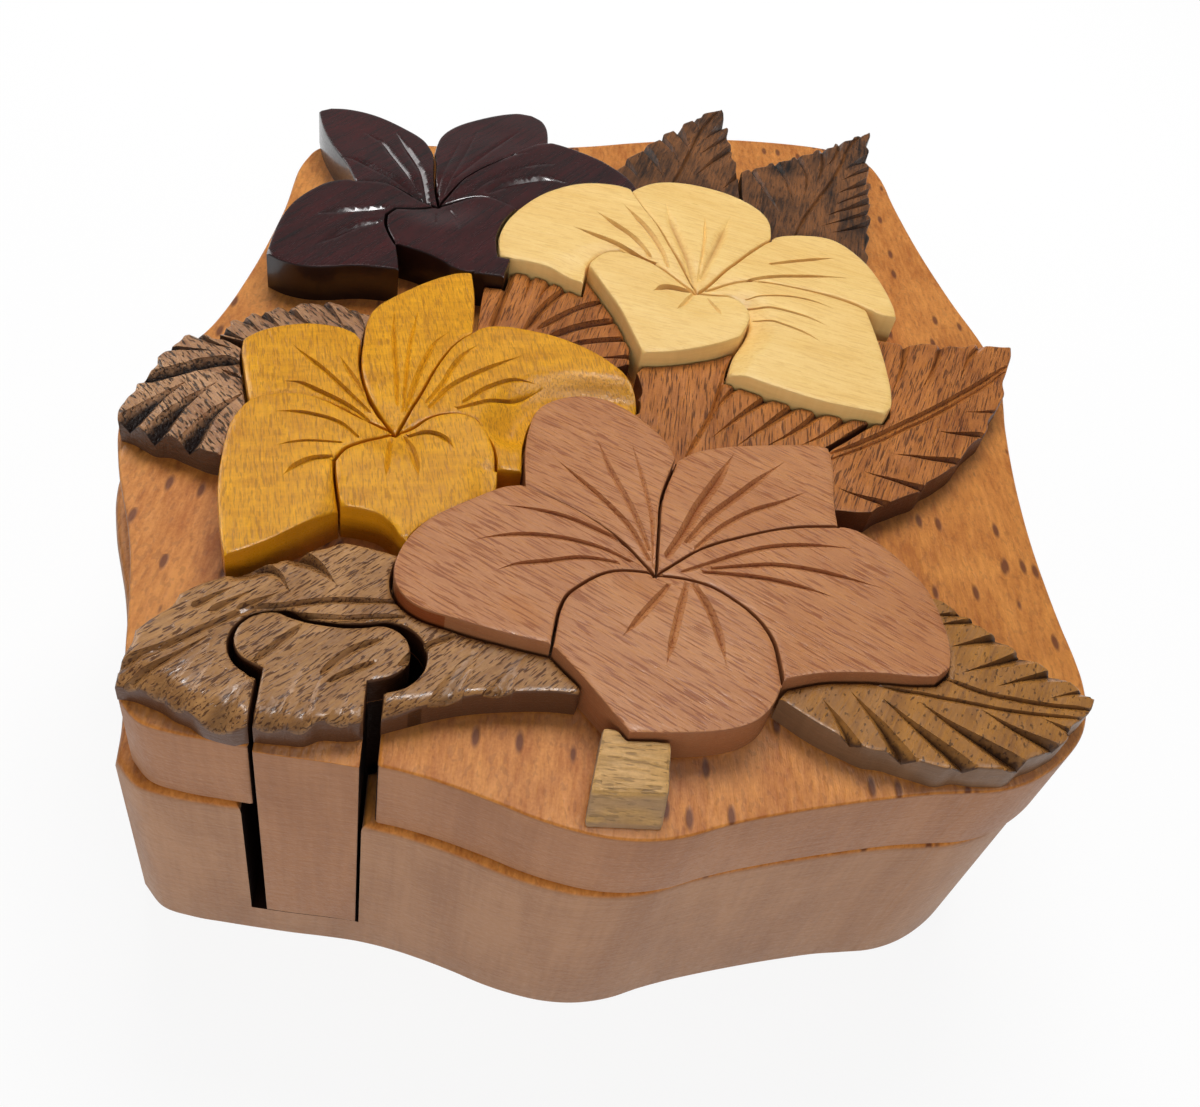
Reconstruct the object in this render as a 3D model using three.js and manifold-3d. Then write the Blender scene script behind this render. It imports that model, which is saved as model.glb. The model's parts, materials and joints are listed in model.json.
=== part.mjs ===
// Puzzle box: a wavy wooden box whose lid carries four sawn wooden flowers among leaves.
// A T-shaped key, its top cut out of one of the leaves, drops through the lid into the base
// and stops the lid from sliding. Millimetres, +Z up, front towards -Y.

import * as THREE from "three";
import { mergeVertices } from "three/addons/utils/BufferGeometryUtils.js";
import Module from "manifold-3d";

const wasm = await Module();
wasm.setup();

// Driving dimensions of the box.
const base_height = 31.7; // base block with its bottom plate
const bottom_plate_thickness = 6.3;
const lid_thickness = 12.6;
const lid_set_in = 0.5; // the lid is sanded this much smaller than the base all round
const lid_slip = 1.5; // how far the lid has slid on its rails before the key stops it

// The compartment in the base and its felt.
const compartment_width = 98;
const compartment_length = 90;
const compartment_corner_radius = 14;
const compartment_centre_x = -4;
const compartment_centre_y = -7;
const felt_thickness = 1.2;
const felt_gap = 0.3; // between the wall felt and the wall it is glued to
const felt_rim_drop = 1; // the wall felt stops this far below the base's top

// The two hidden rails that the lid slides on.
const rail_width = 6;
const rail_rise = 3; // above the base's top
const rail_inlet = 2.5; // let into the base
const rail_length = 84;
const rail_setback = 4; // from the compartment
const rail_centre_x = -8;
const rail_glue_gap = 0.3;
const rail_side_play = 0.6;
const rail_top_play = 0.5;
const rail_end_play = 2.5;

// The key.
const key_head_width = 20.2;
const key_lobe_radius = 3.95;
const key_head_dip = 1.1; // hollow between the two lobes
const key_stem_width = 11.8;
const key_stem_root = 4.35; // the stem's straight sides begin this far in front of the lobes' centres
const key_stem_lean = 1.2; // the stem's front end stands this far to the right of its root
const key_centre_x = -38.1;
const key_head_y = -72.5;
const key_lobe_end = 70; // degrees that each lobe's arc goes on past its outer side, towards the stem
const key_gap = 0.3; // the least gap that the key has to the lid and to the base
const key_set_back = 0.5; // the key stands this far behind the middle of its slots

// The pieces glued on the lid.
const leaf_thickness = 4.3;
const twig_height = 4.4;
const twig_front_slope = 2; // how far the twig's front is sawn back at its top
const saw_gap = 0.35; // between neighbouring petals and leaves
const tooth_depth = 0.9; // of the saw teeth along a leaf's edge

// Facets.
const curve_step = 2.6; // their length along the curves of petals and leaves
const box_curve_step = 4.5; // and along the box's sides
const arc_facets = 8; // in each round corner
const tooth_facets = 4; // along each saw tooth

// Where the levels of the box lie.
const base_top = base_height;
const lid_top = base_top + lid_thickness;
const rail_top = base_top + rail_rise;
const through = 1; // how far a cut runs past the face that it opens

// The plan of the base, corner by corner from the left end of the front.
const base_plan = [
  [-62, -76.2], [-60.9, -81.4], [-57.5, -83.8], [-44.5, -85.2], [-30, -85.8], [-21, -87.6],
  [-11.5, -90.4],
  [-4, -91.4], [2.5, -90.6], [10.5, -87.4], [22.5, -83.6], [34, -80.6], [45, -78.3],
  [52, -74], [57.5, -67.5],
  [59.5, -60], [58.8, -47], [58.4, -34], [58.9, -21], [60.3, -7], [62.2, 6], [61.4, 16], [57.6, 30],
  [54, 46], [51.4, 62], [49.8, 74.5], [46.5, 81], [39, 83.2], [20, 80.6], [9, 77], [-4, 71], [-14, 65.8],
  [-28, 60], [-44, 55.4], [-56, 52], [-63.6, 48], [-66, 40.5], [-65.8, 24], [-66.8, 4], [-69.2, -12],
  [-74.2, -25], [-75.4, -33.4], [-73, -43], [-66.9, -58],
];

// Flowers. Each petal has the seam that it shares with the petal before it, drawn from the heart
// outwards, and the rim from that seam's end to the next one. A rim of several lists has a corner
// wherever one list ends. rise is the petal's height above the lid at the heart, fall its slope
// down to the tip, and lean its slope up to the left of a line from heart to tip.
const flowers = [
  {
    name: "pink",
    heart: [0.7, -55.9],
    rise: 7,
    petals: [
      {
        name: "back_left",
        fall: 0.02,
        lean: -0.03,
        seam: [[-4, -51.2], [-10, -46.8], [-17, -43.7]],
        rim: [
          [
            [-17.6, -35.8], [-17.2, -29.8], [-16, -26.2], [-12.5, -23.4], [-8, -22.7], [-4, -24.4],
            [0, -27.9], [2.4, -31.3],
          ],
        ],
      },
      {
        name: "back_right",
        fall: 0.03,
        lean: -0.03,
        seam: [[0.9, -47.7], [1.4, -41.8], [3.4, -34.3]],
        rim: [[[6.8, -30.8], [12.8, -28.3], [22.5, -25.7], [26.9, -25.4]], [[27.1, -30], [26.3, -38]]],
      },
      {
        name: "right",
        fall: 0.03,
        lean: 0.02,
        seam: [[6.8, -50.7], [12.8, -47.2], [19.7, -44.1], [26.2, -42.6]],
        rim: [
          [
            [29, -43], [33.6, -46.2], [37.6, -51.7], [39.1, -57.7], [39, -62.8], [36.9, -66.4],
            [27.7, -67.4], [21.7, -68.5],
          ],
        ],
      },
      {
        name: "front",
        fall: 0.07,
        lean: 0,
        seam: [[3.3, -56], [7.8, -57.2], [11.8, -59.6], [14.3, -62.1], [15.8, -65.1], [16.5, -70.4]],
        rim: [[[15.8, -72.4], [13.6, -75.8], [9.8, -78], [3.8, -79.4], [-2.1, -80.2]], [[-8.1, -73.4]]],
      },
      {
        name: "left",
        fall: 0.02,
        lean: -0.02,
        seam: [[-2.1, -56.3], [-5.6, -57.6], [-9.1, -60.6], [-10.9, -63.6], [-11.6, -69.8]],
        rim: [
          [
            [-18, -68.9], [-24, -67.6], [-28.2, -66.4], [-30.9, -64], [-31.8, -60.4], [-30.9, -56],
            [-28.5, -51.9], [-24, -47.8], [-19.7, -44.6],
          ],
        ],
      },
    ],
  },
  {
    name: "yellow",
    heart: [-35.4, -36.3],
    rise: 6.8,
    petals: [
      {
        name: "back",
        fall: 0.01,
        lean: -0.03,
        seam: [[-38.4, -32.8], [-40.9, -27.9], [-42.4, -22.9], [-42.9, -18.4]],
        rim: [
          [[-43.3, -12.5], [-42.4, -8.5], [-39.9, -4.8], [-35.9, 0], [-32.2, 3.2], [-29.4, 4.2]],
          [[-28.3, -2], [-27.7, -8]],
        ],
      },
      {
        name: "right",
        fall: 0.02,
        lean: 0.07,
        seam: [[-33.4, -28.9], [-31.9, -21.9], [-29.9, -15.9], [-27.5, -12.3]],
        rim: [
          [
            [-24.6, -10.3], [-20, -9.5], [-14, -9.8], [-8, -12], [-3.3, -15.9], [-1.6, -19.4],
            [-1.7, -22],
          ],
          [[-7, -26], [-13, -30], [-15.2, -39.6]],
          [[-18, -40]],
        ],
      },
      {
        name: "front",
        fall: 0.06,
        lean: 0.02,
        seam: [
          [-33.2, -34.8], [-30.9, -32.5], [-28, -31.1], [-25.2, -31.2], [-23, -33.8],
          [-21.5, -37.4], [-21, -40.3],
        ],
        rim: [[[-20.8, -44.5], [-22, -50], [-27, -56.5]], [[-31, -55.7], [-33.6, -52.9], [-36, -51.6]]],
      },
      {
        name: "front_left",
        fall: 0.02,
        lean: -0.03,
        seam: [[-37.9, -38.6], [-41.4, -41.8], [-42.1, -43.8], [-41.2, -47.6], [-40, -51.4]],
        rim: [
          [[-43, -54.6], [-48, -59.6], [-51.8, -62.3]],
          [[-53.2, -58.8], [-55.3, -51.7], [-56.4, -44.7], [-56.6, -38.8]],
        ],
      },
      {
        name: "left",
        fall: 0.02,
        lean: -0.03,
        seam: [[-40.9, -35], [-44.8, -33], [-48.8, -32], [-52.8, -32.8], [-55.3, -34.8]],
        rim: [
          [[-56.8, -30.8], [-59.2, -23.4], [-59.5, -21]],
          [[-56.8, -17.9], [-51.8, -15.6], [-47, -15.4], [-44.4, -16.4]],
        ],
      },
    ],
  },
  {
    name: "cream",
    heart: [7.8, 9.4],
    rise: 7.6,
    petals: [
      {
        name: "left",
        fall: 0.01,
        lean: -0.04,
        seam: [[1.8, 13.4], [-2.1, 15.4], [-5.6, 16.6], [-8.9, 15.1], [-10.9, 11.5]],
        rim: [
          [[-11.4, 6]],
          [[-16, 8.4], [-20, 9.6], [-25.4, 10.1]],
          [[-26.1, 15.9], [-24.5, 22.8], [-20, 30.6], [-14, 35.8], [-8, 37.4]],
        ],
      },
      {
        name: "back",
        fall: 0.02,
        lean: 0.02,
        seam: [[3.8, 17.8], [0.9, 25.8], [-2.1, 31.8], [-4.1, 36.9]],
        rim: [
          [
            [-1.6, 40.2], [1.9, 42.9], [6.8, 44.2], [12.8, 43.7], [17.7, 41.7], [20.9, 38.5],
            [22.2, 34.2],
          ],
        ],
      },
      {
        name: "right",
        fall: 0.02,
        lean: -0.02,
        seam: [[9.8, 11.9], [13.8, 17.8], [17.7, 23.8], [21.8, 29.4]],
        rim: [
          [
            [24, 31], [28.4, 32.8], [33.1, 33.3], [36.6, 30.8], [39.6, 25.8], [41.6, 18.8],
            [42.4, 12.9], [42.3, 9.9],
          ],
          [[39.8, 9.9]],
        ],
      },
      {
        name: "front_right",
        fall: 0.03,
        lean: 0.02,
        seam: [[13.8, 12.7], [19.7, 14.1], [27.7, 13.9], [33.6, 12.9], [37.1, 11.3]],
        rim: [
          [[37.9, 5.9], [38.6, -1], [38.8, -9], [38.3, -13.6], [37.1, -15.7]],
          [[31.7, -15.5], [25.7, -15], [19.6, -13.6], [12.4, -11.4]],
          [[13.2, -7]],
        ],
      },
      {
        name: "front",
        fall: 0.04,
        lean: 0,
        seam: [[12.8, 8.9], [14.8, 7.9], [16.3, 4.9], [16.5, 1.9], [15.2, -2]],
        rim: [[[13.4, -3.6], [9.8, -6], [3.8, -9], [-1.4, -10.3]], [[-5.1, 0], [-8.1, 6]]],
      },
    ],
  },
  {
    name: "dark",
    heart: [-37.4, 23.8],
    rise: 7.2,
    petals: [
      {
        name: "back_left",
        fall: 0.02,
        lean: -0.02,
        seam: [[-41.9, 24.8], [-46.8, 26.3], [-51.8, 25.5]],
        rim: [
          [[-54, 30.4], [-57.8, 36.7], [-60.7, 42.7], [-62.6, 48.6]],
          [[-61, 50.2], [-57.3, 50.9], [-52.8, 50.1], [-47.8, 47.6], [-42.9, 43.7], [-40.4, 39.2]],
        ],
      },
      {
        name: "back",
        fall: 0.02,
        lean: -0.02,
        seam: [[-38.9, 29.8], [-39.7, 35.8]],
        rim: [
          [
            [-40.1, 42], [-39.5, 47.6], [-36.9, 52.6], [-31.9, 57.6], [-28, 60.6], [-25, 61.5],
            [-22.4, 60.4], [-20.8, 57.4], [-20.2, 53.6],
          ],
        ],
      },
      {
        name: "right",
        fall: 0.02,
        lean: 0.09,
        seam: [[-35.9, 27.8], [-31.9, 35.8], [-26, 43.7], [-22.3, 48], [-20, 49.6]],
        rim: [
          [[-16, 49.3], [-10, 47.6], [-5.1, 44.2], [-3, 41.2], [-2.3, 38.5]],
          [[-8, 33], [-15, 27]],
        ],
      },
      {
        name: "front",
        fall: 0.03,
        lean: 0.02,
        seam: [[-34.6, 25.6], [-31.9, 26.8], [-28.9, 27.3], [-25, 25.8], [-22, 24]],
        rim: [[[-23, 15], [-24.2, 4.6]], [[-30, 4.4], [-32.4, 4.9], [-35.4, 6.8], [-39, 8.1]]],
      },
      {
        name: "front_left",
        fall: 0.02,
        lean: -0.02,
        seam: [[-41.4, 20.4], [-44.2, 18.4], [-44.9, 15.4], [-43.9, 11.9], [-42.4, 8.9]],
        rim: [
          [[-41.2, 4], [-40.8, 1.8]],
          [[-46.8, 1.2], [-51.8, -0.6], [-55.3, -1.2], [-58.8, -0.6], [-61.2, 0.6]],
          [[-61.3, 8.9], [-60.2, 15.9], [-57.6, 21.3], [-55, 24.2]],
        ],
      },
    ],
  },
];

// Leaves. Each outline is a ring of edges with a corner wherever one ends and the next begins,
// and teeth is the number of saw teeth along an edge. A leaf is drawn on under the pieces that it
// meets, and they are cut out of it.
const leaves = [
  {
    name: "front_left_leaf",
    finish: "brown_leaf",
    edges: [
      {
        teeth: 5,
        points: [
          [-59.2, -80.6], [-58.8, -75], [-56.8, -70.6], [-54.2, -66.4], [-50.4, -63.2], [-44.5, -59.8],
          [-39, -56],
        ],
      },
      { points: [[-39, -56], [-34, -56.6], [-28, -58]] },
      { points: [[-28, -58], [-18, -62], [-9.5, -69.5], [-7.3, -72.6], [-8, -75]] },
      { points: [[-8, -75], [-13, -75.3], [-22, -77.4], [-31, -81.6]] },
      {
        teeth: 4,
        points: [
          [-31, -81.6], [-36, -83], [-44, -84.3], [-49.5, -84], [-53, -81.8], [-59.2, -80.6],
        ],
      },
    ],
  },
  {
    name: "front_right_leaf",
    finish: "olive_leaf",
    edges: [
      { points: [[16.4, -71.8], [22, -65], [34, -58], [39.2, -51.6]] },
      { teeth: 5, points: [[39.2, -51.6], [43.4, -54], [48.8, -58.6], [54, -62.2], [58.4, -65.4]] },
      {
        teeth: 4,
        points: [
          [58.4, -65.4], [56, -68.6], [50, -74.4], [44.6, -77.4], [37, -78.6], [27, -77.6],
        ],
      },
      { points: [[27, -77.6], [21.4, -75.2], [16.4, -71.8]] },
    ],
  },
  {
    name: "right_leaf",
    finish: "red_leaf",
    edges: [
      { teeth: 3, points: [[64.4, 11.3], [58, 10], [49, 8], [36, 6]] },
      { points: [[36, 6], [34, -6], [37, -15.2]] },
      { points: [[37, -15.2], [28.4, -23.6]] },
      { points: [[28.4, -23.6], [24, -30], [25, -37.6]] },
      { teeth: 3, points: [[25, -37.6], [32.6, -36.2], [38.6, -31.8], [44, -27.2], [49.4, -20.6]] },
      { teeth: 3, points: [[49.4, -20.6], [55.4, -12], [60, -2.4], [64.4, 11.3]] },
    ],
  },
  {
    name: "middle_leaf",
    finish: "red_leaf",
    edges: [
      { points: [[-1.8, -12.6], [3, -5], [14, -4], [24, -9], [36.4, -14.6]] },
      { points: [[36.4, -14.6], [27.8, -23]] },
      { points: [[27.8, -23], [14, -34], [2, -38]] },
      { points: [[2, -38], [-4, -30], [-3.4, -23], [-1, -17.6], [-1.8, -12.6]] },
    ],
  },
  {
    name: "left_middle_leaf",
    finish: "red_leaf",
    edges: [
      { points: [[-26.8, 8.8], [-20, 14], [-12, 12], [-4, 2], [-3, -10.4]] },
      { points: [[-3, -10.4], [-12, -16], [-27, -14]] },
      { points: [[-27, -14], [-27.2, -4], [-27.2, 3], [-26.8, 8.8]] },
    ],
  },
  {
    name: "back_middle_leaf",
    finish: "dark_leaf",
    edges: [
      {
        teeth: 6,
        points: [
          [15.6, 84], [11.2, 79.2], [7.4, 73.8], [3.2, 67.6], [-0.6, 61.4], [-4, 55.2], [-8, 46],
        ],
      },
      { points: [[-8, 46], [0, 36], [14, 38], [17.6, 47]] },
      { points: [[17.6, 47], [17.8, 55.6]] },
      { teeth: 4, points: [[17.8, 55.6], [17.4, 62], [16.8, 69], [16.4, 76], [15.6, 84]] },
    ],
  },
  {
    name: "back_right_leaf",
    finish: "dark_leaf",
    edges: [
      {
        teeth: 6,
        points: [
          [48.8, 85.4], [43.6, 80.4], [37.4, 74], [31, 68.2], [24.6, 62.8], [18.6, 57.4],
        ],
      },
      { points: [[18.6, 57.4], [18.4, 44], [22, 26], [34, 22], [40.4, 28]] },
      {
        teeth: 8,
        points: [
          [40.4, 28], [42, 38], [43.6, 47], [45, 57], [46.2, 68], [47.4, 78], [48.8, 85.4],
        ],
      },
    ],
  },
  {
    name: "left_back_leaf",
    finish: "grey_leaf",
    edges: [
      {
        teeth: 8,
        points: [
          [-63.6, -18.6], [-62, -14.2], [-58, -10.8], [-54, -8.4], [-50, -6.8], [-46, -7.4],
          [-41, -10.6],
        ],
      },
      { points: [[-41, -10.6], [-42, -19], [-52, -20.4], [-63.6, -18.6]] },
    ],
  },
  {
    name: "left_leaf",
    finish: "grey_leaf",
    edges: [
      {
        teeth: 5,
        points: [
          [-58, -21], [-61.6, -20.2], [-66, -18.8], [-68.6, -20.8], [-70, -25], [-70.8, -30],
          [-71.8, -34.8], [-71.6, -39.4],
        ],
      },
      { teeth: 2, points: [[-71.6, -39.4], [-66, -41.4], [-57.2, -43.4]] },
      { points: [[-57.2, -43.4], [-53, -36], [-54, -27], [-58, -21]] },
    ],
  },
];

// The foot of the stub of twig at the front.
const twig_foot = [[-6.2, -90], [2.6, -89.3], [3, -79.4], [-5, -79.2]];

const finishes = {
  beech: { color: 0xc98a52, roughness: 0.5 },
  pale_beech: { color: 0xb97d4a, roughness: 0.6 },
  felt: { color: 0x2a1512, roughness: 0.95 },
  pink: { color: 0xb98062, roughness: 0.45 },
  yellow: { color: 0xc9962b, roughness: 0.4 },
  cream: { color: 0xf0cc82, roughness: 0.5 },
  dark: { color: 0x3a1518, roughness: 0.15 },
  brown_leaf: { color: 0x8c6b42, roughness: 0.45 },
  olive_leaf: { color: 0x8f7440, roughness: 0.45 },
  red_leaf: { color: 0x9b5a30, roughness: 0.5 },
  grey_leaf: { color: 0x6b4e38, roughness: 0.7 },
  dark_leaf: { color: 0x4d3a28, roughness: 0.5 },
  twig: { color: 0xa9883f, roughness: 0.7 },
};

const part = new THREE.Group();
part.name = "puzzle_box";

const vectors = (points) => points.map(([x, y]) => new THREE.Vector2(x, y));

// Points about `step` apart along a smooth curve through the given points.
function smooth(points, step) {
  const curve = new THREE.SplineCurve(points);
  const spans = Math.max(1, Math.round(curve.getLength() / step));
  return curve.getSpacedPoints(spans);
}

// Joins edges end to end into one anticlockwise outline, each shared corner once.
function ring(edges) {
  const outline = edges.flatMap((edge) => edge.slice(0, -1));
  return THREE.ShapeUtils.isClockWise(outline) ? outline.reverse() : outline;
}

// A closed smooth outline through the given points.
function closed_curve(points, step) {
  const curve = new THREE.CatmullRomCurve3(points.map((p) => new THREE.Vector3(p.x, p.y, 0)), true);
  const spans = Math.round(curve.getLength() / step);
  return ring([curve.getSpacedPoints(spans).map((p) => new THREE.Vector2(p.x, p.y))]);
}

// The outline moved outwards by `distance`, or inwards where it is negative, corners kept sharp.
function grow(outline, distance) {
  const sharpest = 0.35; // keeps the tip of a needle-sharp corner from running far out
  const outward = (from, to) => new THREE.Vector2(to.y - from.y, from.x - to.x).normalize();
  return outline.map((point, i) => {
    const before = outward(outline.at(i - 1), point);
    const after = outward(point, outline[(i + 1) % outline.length]);
    const reach = distance / Math.max(1 + before.dot(after), sharpest);
    return point.clone().addScaledVector(before.add(after), reach);
  });
}

const moved = (outline, x, y) => outline.map((p) => new THREE.Vector2(p.x + x, p.y + y));

// Points along a smooth curve with saw teeth: each tooth rises slowly and drops back sharply.
function toothed(points, teeth) {
  const spans = teeth * tooth_facets;
  const edge = new THREE.SplineCurve(points).getSpacedPoints(spans);
  return edge.map((point, i) => {
    if (i === 0 || i === spans) return point;
    const along = edge[i + 1].clone().sub(edge[i - 1]).normalize();
    const phase = ((i / spans) * teeth) % 1;
    const outward = new THREE.Vector2(-along.y, along.x);
    return point.clone().addScaledVector(outward, tooth_depth * (0.5 - phase));
  });
}

// A closed solid over an outline, from level `bottom` up to `top`, a level or a function of x and y.
function prism(outline, bottom, top) {
  const shape = new THREE.Shape(outline);
  const geometry = new THREE.ExtrudeGeometry(shape, { depth: 1, bevelEnabled: false });
  const position = geometry.getAttribute("position");
  for (let i = 0; i < position.count; i++) {
    const level = typeof top === "function" ? top(position.getX(i), position.getY(i)) : top;
    position.setZ(i, position.getZ(i) > 0 ? level : bottom);
  }
  return solid(geometry);
}

function block(x0, x1, y0, y1, z0, z1) {
  const geometry = new THREE.BoxGeometry(x1 - x0, y1 - y0, z1 - z0);
  geometry.translate((x0 + x1) / 2, (y0 + y1) / 2, (z0 + z1) / 2);
  return solid(geometry);
}

// A closed solid whose side view, drawn as y and z, runs from x0 to x1.
function across(side, x0, x1) {
  const shape = new THREE.Shape(side);
  const geometry = new THREE.ExtrudeGeometry(shape, { depth: x1 - x0, bevelEnabled: false });
  const position = geometry.getAttribute("position");
  for (let i = 0; i < position.count; i++) {
    position.setXYZ(i, position.getZ(i) + x0, position.getX(i), position.getY(i));
  }
  return solid(geometry);
}

function solid(geometry) {
  const bare = new THREE.BufferGeometry();
  bare.setAttribute("position", geometry.getAttribute("position"));
  if (geometry.index) bare.setIndex(geometry.index);
  const merged = mergeVertices(bare, 1e-4);
  return new wasm.Manifold(
    new wasm.Mesh({
      numProp: 3,
      vertProperties: merged.getAttribute("position").array,
      triVerts: new Uint32Array(merged.index.array),
    }),
  );
}

function add(name, shape, finish) {
  const made = shape.getMesh();
  const geometry = new THREE.BufferGeometry();
  geometry.setAttribute("position", new THREE.BufferAttribute(made.vertProperties, 3));
  geometry.setIndex(new THREE.BufferAttribute(made.triVerts, 1));
  const material = new THREE.MeshStandardMaterial({ ...finish, metalness: 0, flatShading: true });
  const mesh = new THREE.Mesh(geometry, material);
  mesh.name = name;
  part.add(mesh);
}

// Outlines

const base_outline = closed_curve(vectors(base_plan), box_curve_step);
const lid_outline = moved(grow(base_outline, -lid_set_in), lid_slip, 0);

// The key's plan: two round lobes with a hollow between them, and a stem out through the front.
function key_plan() {
  const lobe_x = key_head_width / 2 - key_lobe_radius;
  const stem = key_stem_width / 2;
  const stem_front = Math.min(...base_plan.map((p) => p[1])) - key_head_y - through;
  const under = THREE.MathUtils.degToRad(key_lobe_end);
  const shape = new THREE.Shape();
  shape.moveTo(stem + key_stem_lean, stem_front);
  shape.lineTo(stem, -key_stem_root);
  shape.absarc(lobe_x, 0, key_lobe_radius, -under, Math.PI / 2, false);
  shape.quadraticCurveTo(0, key_lobe_radius - 2 * key_head_dip, -lobe_x, key_lobe_radius);
  shape.absarc(-lobe_x, 0, key_lobe_radius, Math.PI / 2, Math.PI + under, false);
  shape.lineTo(-stem, -key_stem_root);
  shape.lineTo(-stem + key_stem_lean, stem_front);
  return moved(ring([[...shape.getPoints(arc_facets), shape.getPoint(0)]]), key_centre_x, key_head_y);
}

const key_outline = key_plan();
const key_push = lid_slip / 2; // the lid's slot and the base's stand this far to either side of the key
const key_play = key_gap + Math.hypot(key_push, key_set_back); // and are this much larger all round
const key_slot = grow(key_outline, key_play);
const base_slot = moved(key_slot, -key_push, -key_set_back);
const lid_slot = moved(key_slot, key_push, -key_set_back);

function rounded_rectangle(centre_x, centre_y, width, length, radius) {
  const shape = new THREE.Shape();
  const x = width / 2 - radius;
  const y = length / 2 - radius;
  shape.absarc(x, y, radius, 0, Math.PI / 2, false);
  shape.absarc(-x, y, radius, Math.PI / 2, Math.PI, false);
  shape.absarc(-x, -y, radius, Math.PI, 1.5 * Math.PI, false);
  shape.absarc(x, -y, radius, 1.5 * Math.PI, 2 * Math.PI, false);
  return moved(ring([[...shape.getPoints(arc_facets), shape.getPoint(0)]]), centre_x, centre_y);
}

// The compartment's outline, or one that lies `inset` inside it.
const compartment = (inset) =>
  rounded_rectangle(
    compartment_centre_x,
    compartment_centre_y,
    compartment_width - 2 * inset,
    compartment_length - 2 * inset,
    compartment_corner_radius - inset,
  );

// Base

const rail_offset = compartment_length / 2 + rail_setback + rail_width / 2;
const rails = [
  { name: "front_rail", y: compartment_centre_y - rail_offset },
  { name: "back_rail", y: compartment_centre_y + rail_offset },
];
const rail_start = rail_centre_x - rail_length / 2;
const rail_end = rail_centre_x + rail_length / 2;

let base_block = prism(base_outline, bottom_plate_thickness, base_top)
  .subtract(prism(compartment(0), bottom_plate_thickness - through, base_top + through))
  .subtract(prism(base_slot, bottom_plate_thickness - through, base_top + through));
for (const { name, y } of rails) {
  const half = rail_width / 2;
  const floor = base_top - rail_inlet;
  const inlet = half + rail_glue_gap;
  const inlet_start = rail_start - rail_glue_gap;
  const inlet_end = rail_end + rail_glue_gap;
  base_block = base_block.subtract(
    block(inlet_start, inlet_end, y - inlet, y + inlet, floor, base_top + through),
  );
  add(name, block(rail_start, rail_end, y - half, y + half, floor, rail_top), finishes.pale_beech);
}
add("base_block", base_block, finishes.beech);
add("bottom_plate", prism(base_outline, 0, bottom_plate_thickness), finishes.pale_beech);

const felt_floor_top = bottom_plate_thickness + felt_thickness;
add("felt_floor", prism(compartment(felt_gap), bottom_plate_thickness, felt_floor_top), finishes.felt);
add(
  "felt_wall",
  prism(compartment(felt_gap), felt_floor_top, base_top - felt_rim_drop).subtract(
    prism(compartment(felt_gap + felt_thickness), felt_floor_top - through, base_top),
  ),
  finishes.felt,
);

// Lid

let lid_slab = prism(lid_outline, base_top, lid_top).subtract(
  prism(lid_slot, base_top - through, lid_top + through),
);
for (const { y } of rails) {
  const half = rail_width / 2 + rail_side_play;
  const groove_start = rail_start + lid_slip - rail_end_play;
  const past_edge = Math.max(...lid_outline.map((p) => p.x)) + through;
  lid_slab = lid_slab.subtract(
    block(groove_start, past_edge, y - half, y + half, base_top - through, rail_top + rail_top_play),
  );
}
add("lid_slab", lid_slab, finishes.beech);

// Petals, each cut by the ones placed before it

const placed = [];
const tallest = Math.max(leaf_thickness, twig_height, ...flowers.map((flower) => flower.rise));
const cutter_top = lid_top + 2 * tallest; // well above every piece on the lid

function clear_of_neighbours(shape, outline) {
  const box = new THREE.Box2().setFromPoints(outline);
  let cut = shape;
  for (const other of placed) {
    if (box.intersectsBox(other.box)) cut = cut.subtract(other.cutter);
  }
  const cutter_outline = grow(outline, saw_gap);
  placed.push({
    box: new THREE.Box2().setFromPoints(cutter_outline),
    cutter: prism(cutter_outline, lid_top - through, cutter_top),
  });
  return cut;
}

// The sloping top of a petal, a plane through the flower's heart.
function petal_top(flower, petal, outline) {
  const heart = new THREE.Vector2(...flower.heart);
  const middle = outline.reduce((sum, p) => sum.add(p), new THREE.Vector2()).divideScalar(outline.length);
  const along = middle.sub(heart).normalize();
  return (x, y) => {
    const out = (x - heart.x) * along.x + (y - heart.y) * along.y;
    const left = (y - heart.y) * along.x - (x - heart.x) * along.y;
    return lid_top + flower.rise - petal.fall * out + petal.lean * left;
  };
}

for (const flower of flowers) {
  const seams = flower.petals.map((petal) => smooth(vectors([flower.heart, ...petal.seam]), curve_step));
  flower.petals.forEach((petal, i) => {
    const first = seams[i];
    const last = seams[(i + 1) % seams.length];
    const edges = petal.rim.map((points) => vectors(points));
    edges[0].unshift(first.at(-1));
    edges.forEach((edge, k) => k > 0 && edge.unshift(edges[k - 1].at(-1)));
    edges.at(-1).push(last.at(-1));
    const outline = ring([first, ...edges.map((edge) => smooth(edge, curve_step)), last.toReversed()]);
    const shape = prism(outline, lid_top, petal_top(flower, petal, outline));
    add(`${flower.name}_petal_${petal.name}`, clear_of_neighbours(shape, outline), finishes[flower.name]);
  });
}

// Leaves

const leaf_top = lid_top + leaf_thickness;

for (const leaf of leaves) {
  const edges = leaf.edges.map(({ points, teeth }) =>
    teeth ? toothed(vectors(points), teeth) : smooth(vectors(points), curve_step),
  );
  const outline = ring(edges);
  let shape = clear_of_neighbours(prism(outline, lid_top, leaf_top), outline);
  if (leaf.name === "front_left_leaf") {
    const cap = shape.intersect(prism(key_outline, lid_top - through, cutter_top));
    add("key_cap", cap, finishes[leaf.finish]);
    shape = shape.subtract(prism(lid_slot, lid_top - through, cutter_top));
  }
  add(leaf.name, shape, finishes[leaf.finish]);
}

// Twig

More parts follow.
